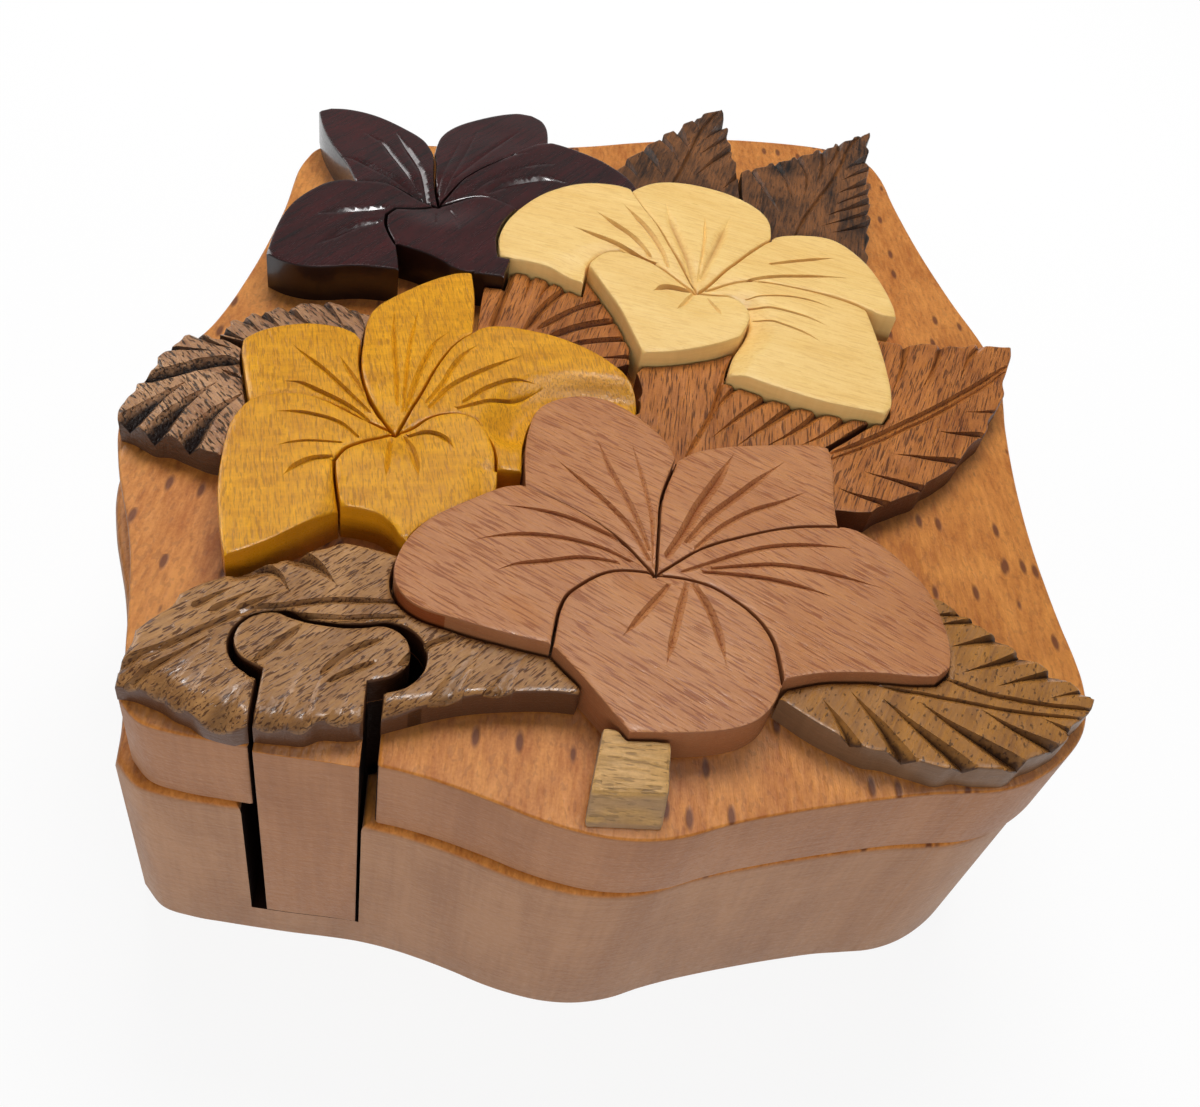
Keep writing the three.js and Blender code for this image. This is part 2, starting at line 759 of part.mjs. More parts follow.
const twig_outline = vectors(twig_foot);
const twig_front = Math.min(...twig_outline.map((p) => p.y));
const twig_top = lid_top + twig_height;
const twig_back = Math.max(...twig_outline.map((p) => p.y)) + through;
const twig_side = vectors([
  [twig_front, lid_top],
  [twig_back, lid_top],
  [twig_back, twig_top],
  [twig_front + twig_front_slope, twig_top],
]);
const twig_left = Math.min(...twig_outline.map((p) => p.x)) - through;
const twig_right = Math.max(...twig_outline.map((p) => p.x)) + through;
const twig = prism(twig_outline, lid_top, twig_top).intersect(across(twig_side, twig_left, twig_right));
add("twig", clear_of_neighbours(twig, twig_outline), finishes.twig);

// Key

const key_block = prism(key_outline, bottom_plate_thickness, lid_top).intersect(
  prism(base_outline, bottom_plate_thickness - through, lid_top + through),
);
add("key_block", key_block, finishes.beech);

// The origin is under the middle of the whole box.
const bounds = new THREE.Box3().setFromObject(part);
part.position.set(-(bounds.min.x + bounds.max.x) / 2, -(bounds.min.y + bounds.max.y) / 2, -bounds.min.z);

export default part;
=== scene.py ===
import json
import math
import bmesh
import bpy
import numpy as np
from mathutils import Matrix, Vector, geometry, noise


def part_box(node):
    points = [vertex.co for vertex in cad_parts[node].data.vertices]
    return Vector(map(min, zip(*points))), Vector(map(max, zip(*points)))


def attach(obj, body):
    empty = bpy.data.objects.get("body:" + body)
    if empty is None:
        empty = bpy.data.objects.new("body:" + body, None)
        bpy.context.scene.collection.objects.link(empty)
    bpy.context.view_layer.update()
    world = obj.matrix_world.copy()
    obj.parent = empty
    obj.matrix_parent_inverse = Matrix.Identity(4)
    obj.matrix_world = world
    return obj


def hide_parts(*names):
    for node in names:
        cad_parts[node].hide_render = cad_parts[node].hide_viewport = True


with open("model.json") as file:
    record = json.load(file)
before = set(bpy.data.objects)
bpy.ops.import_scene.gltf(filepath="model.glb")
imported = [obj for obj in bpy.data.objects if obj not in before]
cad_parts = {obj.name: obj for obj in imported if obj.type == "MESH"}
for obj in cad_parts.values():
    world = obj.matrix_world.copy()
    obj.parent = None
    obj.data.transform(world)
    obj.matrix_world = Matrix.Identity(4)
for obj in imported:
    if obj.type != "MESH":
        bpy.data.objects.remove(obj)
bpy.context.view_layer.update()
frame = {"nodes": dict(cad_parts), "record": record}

MM = 0.001
ORIGIN = np.array([5.504795, 2.993473])  # of the drawing, from the middle of the box
WELD = 2e-6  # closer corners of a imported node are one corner
CORNER = math.radians(30)  # an outline turns sharper than this only at a real corner
LINE_STEP = 0.5  # spacing of points along an outline or a gouge cut
NET_STEP = 0.6  # and across the carved tops
SHORTEST_FACET = 0.12  # shorter ones of a packed outline are dropped
SHARP_EDGE = math.radians(32)

bodies = {node: body for body, nodes in frame["record"]["behaviour"]["bodies"].items() for node in nodes}


# Lines and outlines


def smooth_line(points, step, before=None, after=None):
    """Points about `step` apart on a smooth line through the given ones."""
    line = [np.array(p, float) for p in points]
    first = 2 * line[0] - line[1] if before is None else before
    last = 2 * line[-1] - line[-2] if after is None else after
    line = [first, *line, last]
    lengths = [np.linalg.norm(b - a) for a, b in zip(line, line[1:])]
    slopes = []
    for i in range(1, len(line) - 1):
        arriving = (line[i] - line[i - 1]) / lengths[i - 1]
        leaving = (line[i + 1] - line[i]) / lengths[i]
        total = lengths[i - 1] + lengths[i]
        slopes.append((arriving * lengths[i] + leaving * lengths[i - 1]) / total)
    found = []
    for i in range(1, len(line) - 2):
        spans = max(1, round(lengths[i] / step))
        t = np.arange(spans)[:, None] / spans
        start_share = (1 + 2 * t) * (1 - t) ** 2
        start_slope = t * (1 - t) ** 2 * lengths[i] * slopes[i - 1]
        end_slope = t * t * (t - 1) * lengths[i] * slopes[i]
        found.append(start_share * line[i] + (1 - start_share) * line[i + 1] + start_slope + end_slope)
    return np.vstack([*found, line[-2]])


def turn_at(ring, i):
    arriving = ring[i] - ring[i - 1]
    leaving = ring[(i + 1) % len(ring)] - ring[i]
    cross = arriving[0] * leaving[1] - arriving[1] * leaving[0]
    return abs(math.atan2(cross, arriving @ leaving))


def smooth_ring(ring, step):
    """The closed outline with its facets smoothed and its corners kept."""
    ring = np.array([p for i, p in enumerate(ring) if np.linalg.norm(p - ring[i - 1]) > SHORTEST_FACET])
    corners = [i for i in range(len(ring)) if turn_at(ring, i) > CORNER]
    if not corners:
        return smooth_line([*ring, ring[0]], step, before=ring[-1], after=ring[1])[:-1]
    ring = np.roll(ring, -corners[0], axis=0)
    stops = [i - corners[0] for i in corners] + [len(ring)]
    closed = [*ring, ring[0]]
    runs = [smooth_line(closed[a : b + 1], step)[:-1] for a, b in zip(stops, stops[1:])]
    return np.vstack(runs)


def clear_corners(ring, room):
    """The outline with no points beside its corners, so that their edges can be rounded."""
    corners = [ring[i] for i in range(len(ring)) if turn_at(ring, i) > CORNER]
    gaps = np.min([np.hypot(*(ring - corner).T) for corner in corners], axis=0)
    return ring[(gaps == 0) | (gaps > room)]


def area_of(ring):
    x, y = ring[:, 0], ring[:, 1]
    return (x @ np.roll(y, -1) - y @ np.roll(x, -1)) / 2


def rings_of(node, up):
    """The outlines of a node's flat top (up = 1) or bottom (up = -1), the outermost first.

    Each starts at its foremost corner, so that every run of this script gives the same."""
    solid = bmesh.new()
    solid.from_mesh(frame["nodes"][node].data)
    bmesh.ops.remove_doubles(solid, verts=solid.verts, dist=WELD)
    level = up * max(up * corner.co.z for corner in solid.verts)
    flat = {face for face in solid.faces if all(abs(corner.co.z - level) < WELD for corner in face.verts)}
    edges = {edge for edge in solid.edges if sum(face in flat for face in edge.link_faces) == 1}
    rings = []
    while edges:
        edge = edges.pop()
        corner = edge.verts[1]
        ring = [edge.verts[0], corner]
        while True:
            edge = next((e for e in corner.link_edges if e in edges), None)
            if edge is None:
                break
            edges.remove(edge)
            corner = edge.other_vert(corner)
            ring.append(corner)
        points = np.array([corner.co.xy[:] for corner in ring[:-1]]) / MM - ORIGIN
        points = points if area_of(points) > 0 else points[::-1]
        rings.append(np.roll(points, -np.lexsort(points.T)[0], axis=0))
    solid.free()
    return sorted(rings, key=area_of, reverse=True)


def outline_of(node, side=-1, nth=0, step=LINE_STEP):
    """One of the outlines of a node's top (1) or bottom (-1), smoothed."""
    return smooth_ring(rings_of(node, side)[nth], step)


def levels_of(node):
    low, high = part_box(node)
    return low.z / MM, high.z / MM


def in_place(x, y, z):
    """A point of the drawing in the metres of the frame."""
    return (x + ORIGIN[0]) * MM, (y + ORIGIN[1]) * MM, z * MM


def show(name, data):
    shown = bpy.data.objects.new(name, data)
    bpy.context.collection.objects.link(shown)
    return shown


# Carving: a net of triangles over each sawn piece, pressed down along the gouge cuts


def away_from(points, line, closed=False):
    """For each point: how far along the line (0 to 1) its nearest place is, its distance, and how
    much the side of the line that it lies on faces the back of the box (-1 to 1)."""
    starts = line if closed else line[:-1]
    ends = np.roll(line, -1, axis=0) if closed else line[1:]
    spans = ends - starts
    lengths = np.maximum(np.hypot(spans[:, 0], spans[:, 1]), 1e-9)
    begun = np.concatenate([[0], np.cumsum(lengths)])
    offsets = points[:, None, :] - starts[None, :, :]
    share = np.clip((offsets * spans).sum(2) / lengths**2, 0, 1)
    gaps = offsets - share[:, :, None] * spans
    distance = np.hypot(gaps[:, :, 0], gaps[:, :, 1])
    nearest = distance.argmin(1)
    rows = np.arange(len(points))
    travelled = begun[nearest] + share[rows, nearest] * lengths[nearest]
    span, offset = spans[nearest], offsets[rows, nearest]
    side = np.sign(span[:, 0] * offset[:, 1] - span[:, 1] * offset[:, 0])
    return travelled / begun[-1], distance[rows, nearest], side * span[:, 0] / lengths[nearest]


def inside(points, ring):
    x, y = points[:, 0][:, None], points[:, 1][:, None]
    x0, y0 = ring[:, 0], ring[:, 1]
    x1, y1 = np.roll(x0, -1), np.roll(y0, -1)
    crosses = (y0 > y) != (y1 > y)
    reach = x0 + (y - y0) * (x1 - x0) / np.where(y1 == y0, 1e-12, y1 - y0)
    return (crosses & (x < reach)).sum(1) % 2 == 1


def ease(value, start, end):
    t = np.clip((value - start) / (end - start), 0, 1)
    return t * t * (3 - 2 * t)


def vein_width(t):
    """A vein starts in a point and narrows again where the veins meet at the heart."""
    return 0.68 * ease(t, -0.03, 0.35) * (1 - 0.3 * ease(t, 0.7, 1))


def notch_width(t):
    """A notch starts in a point and is widest where it runs out over the edge."""
    return np.clip(t * 1.15 + 0.04, 0, 1)


def rib_width(t):
    """A rib keeps its width and fades a little at its ends."""
    return 0.55 + 0.45 * ease(t, 0, 0.15) * (1 - ease(t, 0.85, 1))


# For each kind of cut: its width along it, its depth against half that width, and how far its
# bottom leans to the back of the box, where its side is then steeper.
CUTS = {
    "vein": (vein_width, 1.0, 0.45),
    "open vein": (vein_width, 0.6, 0.0),
    "notch": (notch_width, 1.0, 0.5),
    "gouge": (notch_width, 1.2, 0.1),
    "rib": (rib_width, 1.0, 0.4),
    "flute": (notch_width, 0.5, 0.1),
}


def cut_lines(line, kind, width):
    """The two edges and the bottom of a gouge cut, from its middle line."""
    width_at, _, back_lean = CUTS[kind]
    along = np.gradient(line, axis=0)
    sideways = np.stack([-along[:, 1], along[:, 0]], 1)
    sideways /= np.linalg.norm(sideways, axis=1)[:, None]
    half = width_at(np.linspace(0, 1, len(line)))[:, None] * width / 2
    lean = back_lean * sideways[:, 1:2]
    return [line + sideways * half * share for share in (-1, lean, 1)]


def cut_depth_at(points, line, kind, width):
    """How deep the gouge cuts at each point."""
    width_at, steepness, back_lean = CUTS[kind]
    t, distance, facing_back = away_from(points, line)
    half = np.maximum(width_at(t) * width / 2, 1e-3)
    bottom = back_lean * facing_back * half
    outer = (half - distance) / (half - bottom)
    inner = (half + distance) / (half + bottom)
    reach = np.clip(np.where(distance > bottom, outer, inner), 0, 1)
    if kind == "flute":
        reach = reach * (2 - reach)
    return steepness * half * reach


LINE_CLEAR = 0.3  # the lines of a cut end this far inside the rim
FILLING_CLEAR = 0.28  # and the points between them keep this far from them
RIM_ROWS = (0.06, 0.3, 1)  # where rows of points follow the rim, as shares of the width of its rounding
ROW_CLEAR = 0.93  # a point of a row keeps at least this share of the row's distance from the rim
FILLING_START = 0.25  # the points inside start this far inside the rounding
SAME_POINT = 1e-5


def flat_net(ring, lines, rim):
    """Triangles inside a ring, with edges along it and along the lines, closest near its rim."""
    points = [*ring]
    edges = [(i, (i + 1) % len(ring)) for i in range(len(ring))]
    for line in lines:
        gaps = away_from(line, ring, closed=True)[1]
        clear = [p for p, gap in zip(line, gaps) if gap > LINE_CLEAR]
        edges += [(len(points) + i, len(points) + i + 1) for i in range(len(clear) - 1)]
        points += clear
    fixed = np.array(points)
    along = np.roll(ring, -1, axis=0) - np.roll(ring, 1, axis=0)
    inward = np.stack([-along[:, 1], along[:, 0]], 1)
    inward /= np.maximum(np.linalg.norm(inward, axis=1), 1e-9)[:, None]
    for share in RIM_ROWS:
        row = ring + inward * share * rim
        real = inside(row, ring) & (away_from(row, ring, closed=True)[1] > ROW_CLEAR * share * rim)
        points += [*row[real]]
    low, high = ring.min(0), ring.max(0)
    rows = np.arange(low[1], high[1], NET_STEP * math.sqrt(3) / 2)
    columns = np.arange(low[0], high[0], NET_STEP)
    filling = np.array([(x + NET_STEP / 2 * (k % 2), y) for k, y in enumerate(rows) for x in columns])
    filling = filling[inside(filling, ring)]
    filling = filling[away_from(filling, ring, closed=True)[1] > rim + FILLING_START]
    gaps = np.full(len(filling), np.inf)
    for point in fixed[len(ring) :]:
        gaps = np.minimum(gaps, np.hypot(*(filling - point).T))
    points += [*filling[gaps > FILLING_CLEAR]]
    net = geometry.delaunay_2d_cdt([Vector(p) for p in points], edges, [], 0, SAME_POINT)
    corners = np.array([p[:] for p in net[0]])
    faces = np.array(net[2])
    faces = faces[inside(corners[faces].mean(1), ring)]
    used, faces = np.unique(faces, return_inverse=True)
    return corners[used], faces.reshape(-1, 3)


def lumps(points, size, height, seed):
    """Uneven ground left by knife and sandpaper, in lumps of the given size."""
    return height * np.array([noise.noise(Vector((x / size, y / size, seed))) for x, y in points])


def net_piece(name, flat, faces, heights, bottom):
    """A closed piece under a net: its top at the given heights, its walls down to a flat bottom."""
    net = bmesh.new()
    corners = []
    for (x, y), z in zip(flat, heights):
        corners.append(net.verts.new(in_place(x, y, z)))
    for a, b, c in faces:
        net.faces.new((corners[a], corners[b], corners[c]))
    rim = [edge for edge in net.edges if edge.is_boundary]
    for made in bmesh.ops.extrude_edge_only(net, edges=rim)["geom"]:
        if isinstance(made, bmesh.types.BMVert):
            made.co.z = bottom * MM
    bmesh.ops.contextual_create(net, geom=[edge for edge in net.edges if edge.is_boundary])
    bmesh.ops.recalc_face_normals(net, faces=net.faces)
    mesh = bpy.data.meshes.new(name)
    net.to_mesh(mesh)
    net.free()
    return show(name, mesh)


SLOT_SHADE_REACH = 5  # the walls of the key's slots are as near to the key as this
MOUTH_DEPTH = 6  # in the mouth of a slot only the faces across the box belong to it
ACROSS = 0.7  # these have at least this much of their normal along x
UPRIGHT = 0.9  # and the walls this much of it level
SAME_LEVEL = 0.01
SLOT_SHADE = 2.0  # the mark of a face of the key's slots, which gets painted shade; that of a gouge cut is 0 to 1
DEEP_CUT = 0.8  # the depth of a cut that has the mark 1
LEAST_LEFT = 1  # what the gouge leaves of a piece at least
key_ring = rings_of("key_block", -1)[0]
slot_floor = levels_of("bottom_plate")[1]


def mark_cuts(piece, depths=(), tops=0):
    """Marks the gouge cuts on the top faces of a piece, and the walls and floor of the key's slots, which
    get painted shade.

    tops is the number of the top faces' corners, which come first."""
    mesh = piece.data
    sizes = [face.loop_total for face in mesh.polygons]
    centres = np.array([face.center[:] for face in mesh.polygons]) / MM
    plan = centres[:, :2] - ORIGIN
    facing = np.abs([face.normal[:] for face in mesh.polygons])
    past_mouth = (facing[:, 0] > ACROSS) | (plan[:, 1] > key_ring[:, 1].min() + MOUTH_DEPTH)
    near_key = away_from(plan, key_ring, closed=True)[1] < SLOT_SHADE_REACH
    upright = np.hypot(facing[:, 0], facing[:, 1]) > UPRIGHT
    # The walls and floor of the key's narrow slots get painted shade.
    slot_shaded = upright & past_mouth & near_key | (np.abs(centres[:, 2] - slot_floor) < SAME_LEVEL)
    marks = np.repeat(SLOT_SHADE * slot_shaded, sizes)
    marks[:tops] = [depths[loop.vertex_index] for loop in mesh.loops[:tops]]
    mesh.attributes.new("carved", "FLOAT", "CORNER").data.foreach_set("value", marks.astype(np.float32))


def deselect():
    bpy.ops.object.select_all(action="DESELECT")


def make_active(piece):
    deselect()
    piece.select_set(True)
    bpy.context.view_layer.objects.active = piece


def put_in_place(piece, node, finish):
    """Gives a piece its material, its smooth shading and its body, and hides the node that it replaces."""
    piece.data.materials.clear()
    piece.data.materials.append(finish)
    make_active(piece)
    bpy.ops.object.shade_smooth_by_angle(angle=SHARP_EDGE)
    deselect()
    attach(piece, bodies[node])
    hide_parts(node)


# These pieces are cut from the board of another one, so its figure runs on through them.
cut_from = {
    "lid_slab": "base_block",
    "bottom_plate": "base_block",
    "key_block": "base_block",
    "key_cap": "front_left_leaf",
}

GRAIN_STEP = (13.7, 5.3)  # sets the grain of one piece apart from that of the next


def finish_wood(piece, node, grain, finish):
    """Lays the grain of the wood through a piece, at an angle from across the box, and finishes it."""
    corners = np.array([corner.co[:] for corner in piece.data.vertices]) / MM
    turn = math.radians(grain)
    seed = sum(ord(letter) for letter in cut_from.get(node, node))
    along = corners[:, 0] * math.cos(turn) + corners[:, 1] * math.sin(turn) + GRAIN_STEP[0] * seed
    across = corners[:, 1] * math.cos(turn) - corners[:, 0] * math.sin(turn) + GRAIN_STEP[1] * seed
    grain_at = np.stack([along, across, corners[:, 2]], 1).astype(np.float32)
    piece.data.attributes.new("grain", "FLOAT_VECTOR", "POINT").data.foreach_set("vector", grain_at.ravel())
    put_in_place(piece, node, finish)


# The size and height of the lumps of a surface.
SMOOTH_GROUND = (9, 0.12)
FINE_GROUND = (4, 0.16)
COARSE_GROUND = (1.6, 0.22)


def carve(node, finish, grain, rim, usual, ground, dips):
    """Saws a piece to its outline, rounds its top edge and cuts its veins with a gouge.

    usual is the kind of the cuts that name none. This is made of a net and not from a primitive,
    because each cut needs edges of its own."""
    ring = outline_of(node)
    bottom, top = levels_of(node)
    solid = np.array([corner.co[:] for corner in frame["nodes"][node].data.vertices]) / MM
    upper = solid[solid[:, 2] > (bottom + top) / 2]
    plan = np.column_stack([upper[:, :2] - ORIGIN, np.ones(len(upper))])
    slope = np.linalg.lstsq(plan, upper[:, 2], rcond=None)[0]
    smooth_cuts = []
    for width, *points in cuts_of[node]:
        kind = points.pop() if isinstance(points[-1], str) else usual
        smooth_cuts.append((smooth_line(points, LINE_STEP), kind, width))
    lines = []
    for cut in smooth_cuts:
        lines += cut_lines(*cut)
    flat, faces = flat_net(ring, lines, rim)
    near = np.clip(rim - away_from(flat, ring, closed=True)[1], 0, rim)
    height = flat @ slope[:2] + slope[2] - (rim - np.sqrt(rim**2 - near**2))
    height -= ground[1] / 2 + lumps(flat, *ground, seed=len(node) + grain)
    for width, depth, points in dips:
        line = smooth_line(points, LINE_STEP) if len(points) > 1 else np.array(points)
        distance = np.min([np.hypot(*(flat - point).T) for point in line], axis=0)
        height -= depth * (1 - ease(distance, 0, width / 2))
    cut_depth = np.zeros(len(flat))
    for cut in smooth_cuts:
        cut_depth = np.maximum(cut_depth, cut_depth_at(flat, *cut))
    height = np.maximum(height - cut_depth, bottom + LEAST_LEFT)
    piece = net_piece(node + "_carved", flat, faces, height, bottom)
    mark_cuts(piece, np.clip(cut_depth / DEEP_CUT, 0, 1), faces.size)
    finish_wood(piece, node, grain, finish)


# Boards: an outline drawn as one face and thickened


def draw(name, ring, level, fill="NGON"):
    """Draws an outline at a level, as one face or as a bare line, and opens it for editing."""
    deselect()
    bpy.ops.mesh.primitive_circle_add(vertices=len(ring), fill_type=fill)
    piece = bpy.context.object
    piece.name = name
    for corner, (x, y) in zip(piece.data.vertices, ring):
        corner.co = in_place(x, y, level)
    bpy.ops.object.mode_set(mode="EDIT")
    return piece


def board(name, ring, bottom, top):
    piece = draw(name, ring, bottom)
    bpy.ops.mesh.select_all(action="SELECT")
    thickness = (0, 0, (top - bottom) * MM)
    bpy.ops.mesh.extrude_region_move(TRANSFORM_OT_translate={"value": thickness})
    bpy.ops.mesh.select_all(action="SELECT")
    bpy.ops.mesh.normals_make_consistent(inside=False)
    bpy.ops.object.mode_set(mode="OBJECT")
    return piece


def bar(name, x0, x1, y0, y1, z0, z1):
    return board(name, [(x0, y0), (x1, y0), (x1, y1), (x0, y1)], z0, z1)


def apply_modifier(piece, kind, **settings):
    modifier = piece.modifiers.new(kind.lower(), kind)
    for name, value in settings.items():
        setattr(modifier, name, value)
    make_active(piece)
    bpy.ops.object.modifier_apply(modifier=modifier.name)


def cut_out(piece, tool):
    apply_modifier(piece, "BOOLEAN", operation="DIFFERENCE", solver="EXACT", object=tool)
    bpy.data.objects.remove(tool)


def round_edges(piece, radius, level=None):
    """Rounds the sharp edges of a piece, or of these only the ones that lie flat at a level."""
    settings = {"limit_method": "ANGLE", "angle_limit": SHARP_EDGE}
    if level is not None:
        net = bmesh.new()
        net.from_mesh(piece.data)
        weights = net.edges.layers.float.new("bevel_weight_edge")
        for edge in net.edges:
            flat = all(abs(corner.co.z - level * MM) < WELD for corner in edge.verts)
            edge[weights] = 1.0 if flat and edge.calc_face_angle(0) > SHARP_EDGE else 0.0
        net.to_mesh(piece.data)
        net.free()
        settings = {"limit_method": "WEIGHT"}
    apply_modifier(piece, "BEVEL", width=radius * MM, segments=4, use_clamp_overlap=False, **settings)
    if level is not None:
        piece.data.attributes.remove(piece.data.attributes["bevel_weight_edge"])


# Materials


def linear(hex_colour):
    """An sRGB hex value as the linear colour that a shader socket takes."""
    shares = [int(hex_colour[i : i + 2], 16) / 255 for i in (1, 3, 5)]
    return (*[s / 12.92 if s <= 0.04045 else ((s + 0.055) / 1.055) ** 2.4 for s in shares], 1)


def add_node(owner, kind, inputs, **settings):
    """Adds a shader node with its settings, and links or sets its inputs."""
    node = owner.node_tree.nodes.new("ShaderNode" + kind)
    for name, value in settings.items():
        setattr(node, name, value)
    for socket, value in inputs.items():
        if isinstance(value, bpy.types.NodeSocket):
            owner.node_tree.links.new(value, node.inputs[socket])
        else:
            node.inputs[socket].default_value = value
    return node


def calculate(owner, operation, *values):
    return add_node(owner, "Math", dict(enumerate(values)), operation=operation).outputs[0]


def stretch(owner, value, ends, targets=(0.0, 1.0)):
    """Maps a range of a value to the targets, and holds what is past its ends there."""
    low, high = targets
    inputs = {"Value": value, "From Min": ends[0], "From Max": ends[1], "To Min": low, "To Max": high}
    return add_node(owner, "MapRange", inputs).outputs[0]


def blend(owner, share, first, second):
    return add_node(owner, "Mix", {0: share, 6: first, 7: second}, data_type="RGBA").outputs[2]


def pattern(owner, vector, scale, **settings):
    """Noise on a vector that is stretched along each axis first."""
    place = add_node(owner, "Mapping", {"Vector": vector, "Scale": scale}).outputs[0]
    return add_node(owner, "TexNoise", {"Vector": place, "Scale": 1, **settings}).outputs["Fac"]


def bumped(owner, height, strength, distance, **settings):
    inputs = {"Height": height, "Strength": strength, "Distance": distance * MM, **settings}
    return add_node(owner, "Bump", inputs).outputs[0]


def finished(material, **settings):
    """Ends a material in one surface with the settings, whose names have _ for a space."""
    inputs = {name.replace("_", " "): value for name, value in settings.items()}
    surface = add_node(material, "BsdfPrincipled", inputs).outputs[0]
    add_node(material, "OutputMaterial", {"Surface": surface})
    return material


def new_material(name):
    material = bpy.data.materials.new(name)
    material.use_nodes = True
    material.node_tree.nodes.clear()
    return material


FUZZ = 0.4  # mm; the fuzz that sandpaper leaves is finer, and is drawn coarser so that it shows
SAW_LINE = 0.3  # mm; and so are the saw lines of a sawn side
CLOUD_SIZE = (22, 12)  # mm; along and across the grain
WALL_SLOPE = (0.66, 0.4)  # the upward part of the normal where the look of a wall begins and is full
# A gouge cut gets painted shade: on its steep side from CUT_EDGE, and darker towards its bottom from
# CUT_BOTTOM.
CUT_EDGE = 0.12  # the mark of a cut's depth from which its steep side looks cut
CUT_BOTTOM = 0.35  # and from which it gets darker towards its bottom


def wood(
    name, light, dark, side, groove, pore,
    fibre=(9, 0.35), figure=(60, 5), cloud=0.6, contrast=0.3,
    pores=(1.6, 0.3), pore_share=0.2, pore_strength=0.6, rays=None,
    roughness=0.4, gloss=0.5, coat=0.0, relief=0.08, side_relief=0.08, pooled_oil_and_shade=0.5,
):
    """A piece of wood under a thin satin oil or lacquer.

    light and dark are its early and late wood, side its sawn edge, groove the colour of its gouge cuts,
    which is partly their darker end grain and pooled oil and partly painted shade, and pore its pores and
    rays. pooled_oil_and_shade is how much of the groove colour the cuts get. fibre, figure and pores are
    the length and width in mm of its fibres, of its bands and of its open pores, and rays the length and
    width of the dark lenses of some woods."""
    m = new_material(name)
    grain = add_node(m, "Attribute", {}, attribute_name="grain").outputs["Vector"]
    carved = add_node(m, "Attribute", {}, attribute_name="carved").outputs["Fac"]

    noises = []
    for (length, width), detail, wander in (
        (fibre, 3, 0),
        (figure, 3, 0.6),
        (CLOUD_SIZE, 3, 1.0),
        ((FUZZ, FUZZ), 1, 0),
        (pores, 1, 0.2),
    ):
        scale = (1 / length, 1 / width, 1 / width)
        noises.append(pattern(m, grain, scale, Detail=detail, Roughness=0.6, Distortion=wander))
    fine, broad, clouds, fuzz, holes = noises
    total = 0.0
    middle = 0.0
    for layer, weight in ((fine, 1.0), (broad, 0.8), (clouds, cloud), (fuzz, 0.35)):
        total = calculate(m, "MULTIPLY_ADD", layer, weight, total)
        middle += weight / 2
    share = stretch(m, total, (middle - contrast, middle + contrast))
    body_colour = blend(m, share, linear(light), linear(dark))

    # Noise lies within about 0.3 to 0.7, so this limit leaves the wanted share of the surface.
    limit = 0.5 + 0.2 * (0.5 - pore_share)
    marks = stretch(m, holes, (limit, limit + 0.07), (0, pore_strength))
    if rays:
        # Each cell of the plan may hold one lens, drawn round in a cell that is stretched like it.
        cell = (0.5 / rays[0], 0.5 / rays[1], 1)
        place = add_node(m, "Mapping", {"Vector": grain, "Scale": cell}).outputs[0]
        cells = {"Vector": place, "Scale": 1, "Randomness": 0.9}
        lenses = add_node(m, "TexVoronoi", cells, voronoi_dimensions="2D")
        chance = add_node(m, "SeparateColor", {"Color": lenses.outputs["Color"]}).outputs[0]
        reach = stretch(m, chance, (0.74, 0.82), (0, 0.26))
        depth_in = calculate(m, "SUBTRACT", reach, lenses.outputs["Distance"])
        marks = calculate(m, "MAXIMUM", marks, stretch(m, depth_in, (-0.02, 0.12), (0, 0.85)))
    top_colour = blend(m, marks, body_colour, linear(pore))

    # A steep surface shows the ends of the fibres: it is darker or duller, with saw lines.
    normal = add_node(m, "NewGeometry", {}).outputs["Normal"]
    steep = stretch(m, add_node(m, "SeparateXYZ", {"Vector": normal}).outputs["Z"], WALL_SLOPE)
    saw_marks = 0.0
    for scale, weight in (
        ((0.14, 0.14, 0.05), 1.0),
        ((0.15, 0.15, 1 / SAW_LINE), 0.6),
        ((1.2, 1.2, 0.1), 0.5),
    ):
        saw_marks = calculate(m, "MULTIPLY_ADD", pattern(m, grain, scale, Detail=3), weight, saw_marks)
    side_share = stretch(m, saw_marks, (0.85, 1.3), (0, 0.3))
    side_colour = blend(m, side_share, linear(side), linear(pore))

    # A gouge cut is darker than the top, most of all on its steep side, and has no saw lines: partly its
    # darker end grain and pooled oil, partly painted shade of the hollow.
    shaded_flank = calculate(m, "MULTIPLY", stretch(m, carved, (0, CUT_EDGE)), steep)
    wall = calculate(m, "SUBTRACT", steep, shaded_flank)
    outside = blend(m, wall, top_colour, side_colour)
    # Painted shade, darker towards the bottom of a cut and on its steep side.
    deepest = calculate(m, "MAXIMUM", stretch(m, carved, (CUT_BOTTOM, 1)), shaded_flank)
    # Faces marked past 1, in the key's slots, get the groove colour in full as painted shade.
    oiled_and_shaded = calculate(m, "MULTIPLY_ADD", deepest, pooled_oil_and_shade, stretch(m, carved, (1, SLOT_SHADE)))
    colour = blend(m, oiled_and_shaded, outside, linear(groove))

    shine = stretch(m, fine, (0.3, 0.7), (roughness - 0.08, roughness + 0.08))
    top_bump = bumped(m, calculate(m, "MULTIPLY_ADD", marks, -0.4, fine), 1.0, relief)
    bump = bumped(m, calculate(m, "MULTIPLY", saw_marks, wall), 1.0, side_relief, Normal=top_bump)
    return finished(
        m,
        Base_Color=colour,
        Roughness=calculate(m, "MULTIPLY_ADD", steep, 0.12, shine),
        Normal=bump,
        IOR=1.5,
        Specular_IOR_Level=gloss,
        Coat_Weight=coat,
        Coat_Roughness=0.12,
    )


# The colours of a wood come in the order light, dark, side, groove and pore; groove is partly the darker
# end grain of the cuts and partly painted shade.

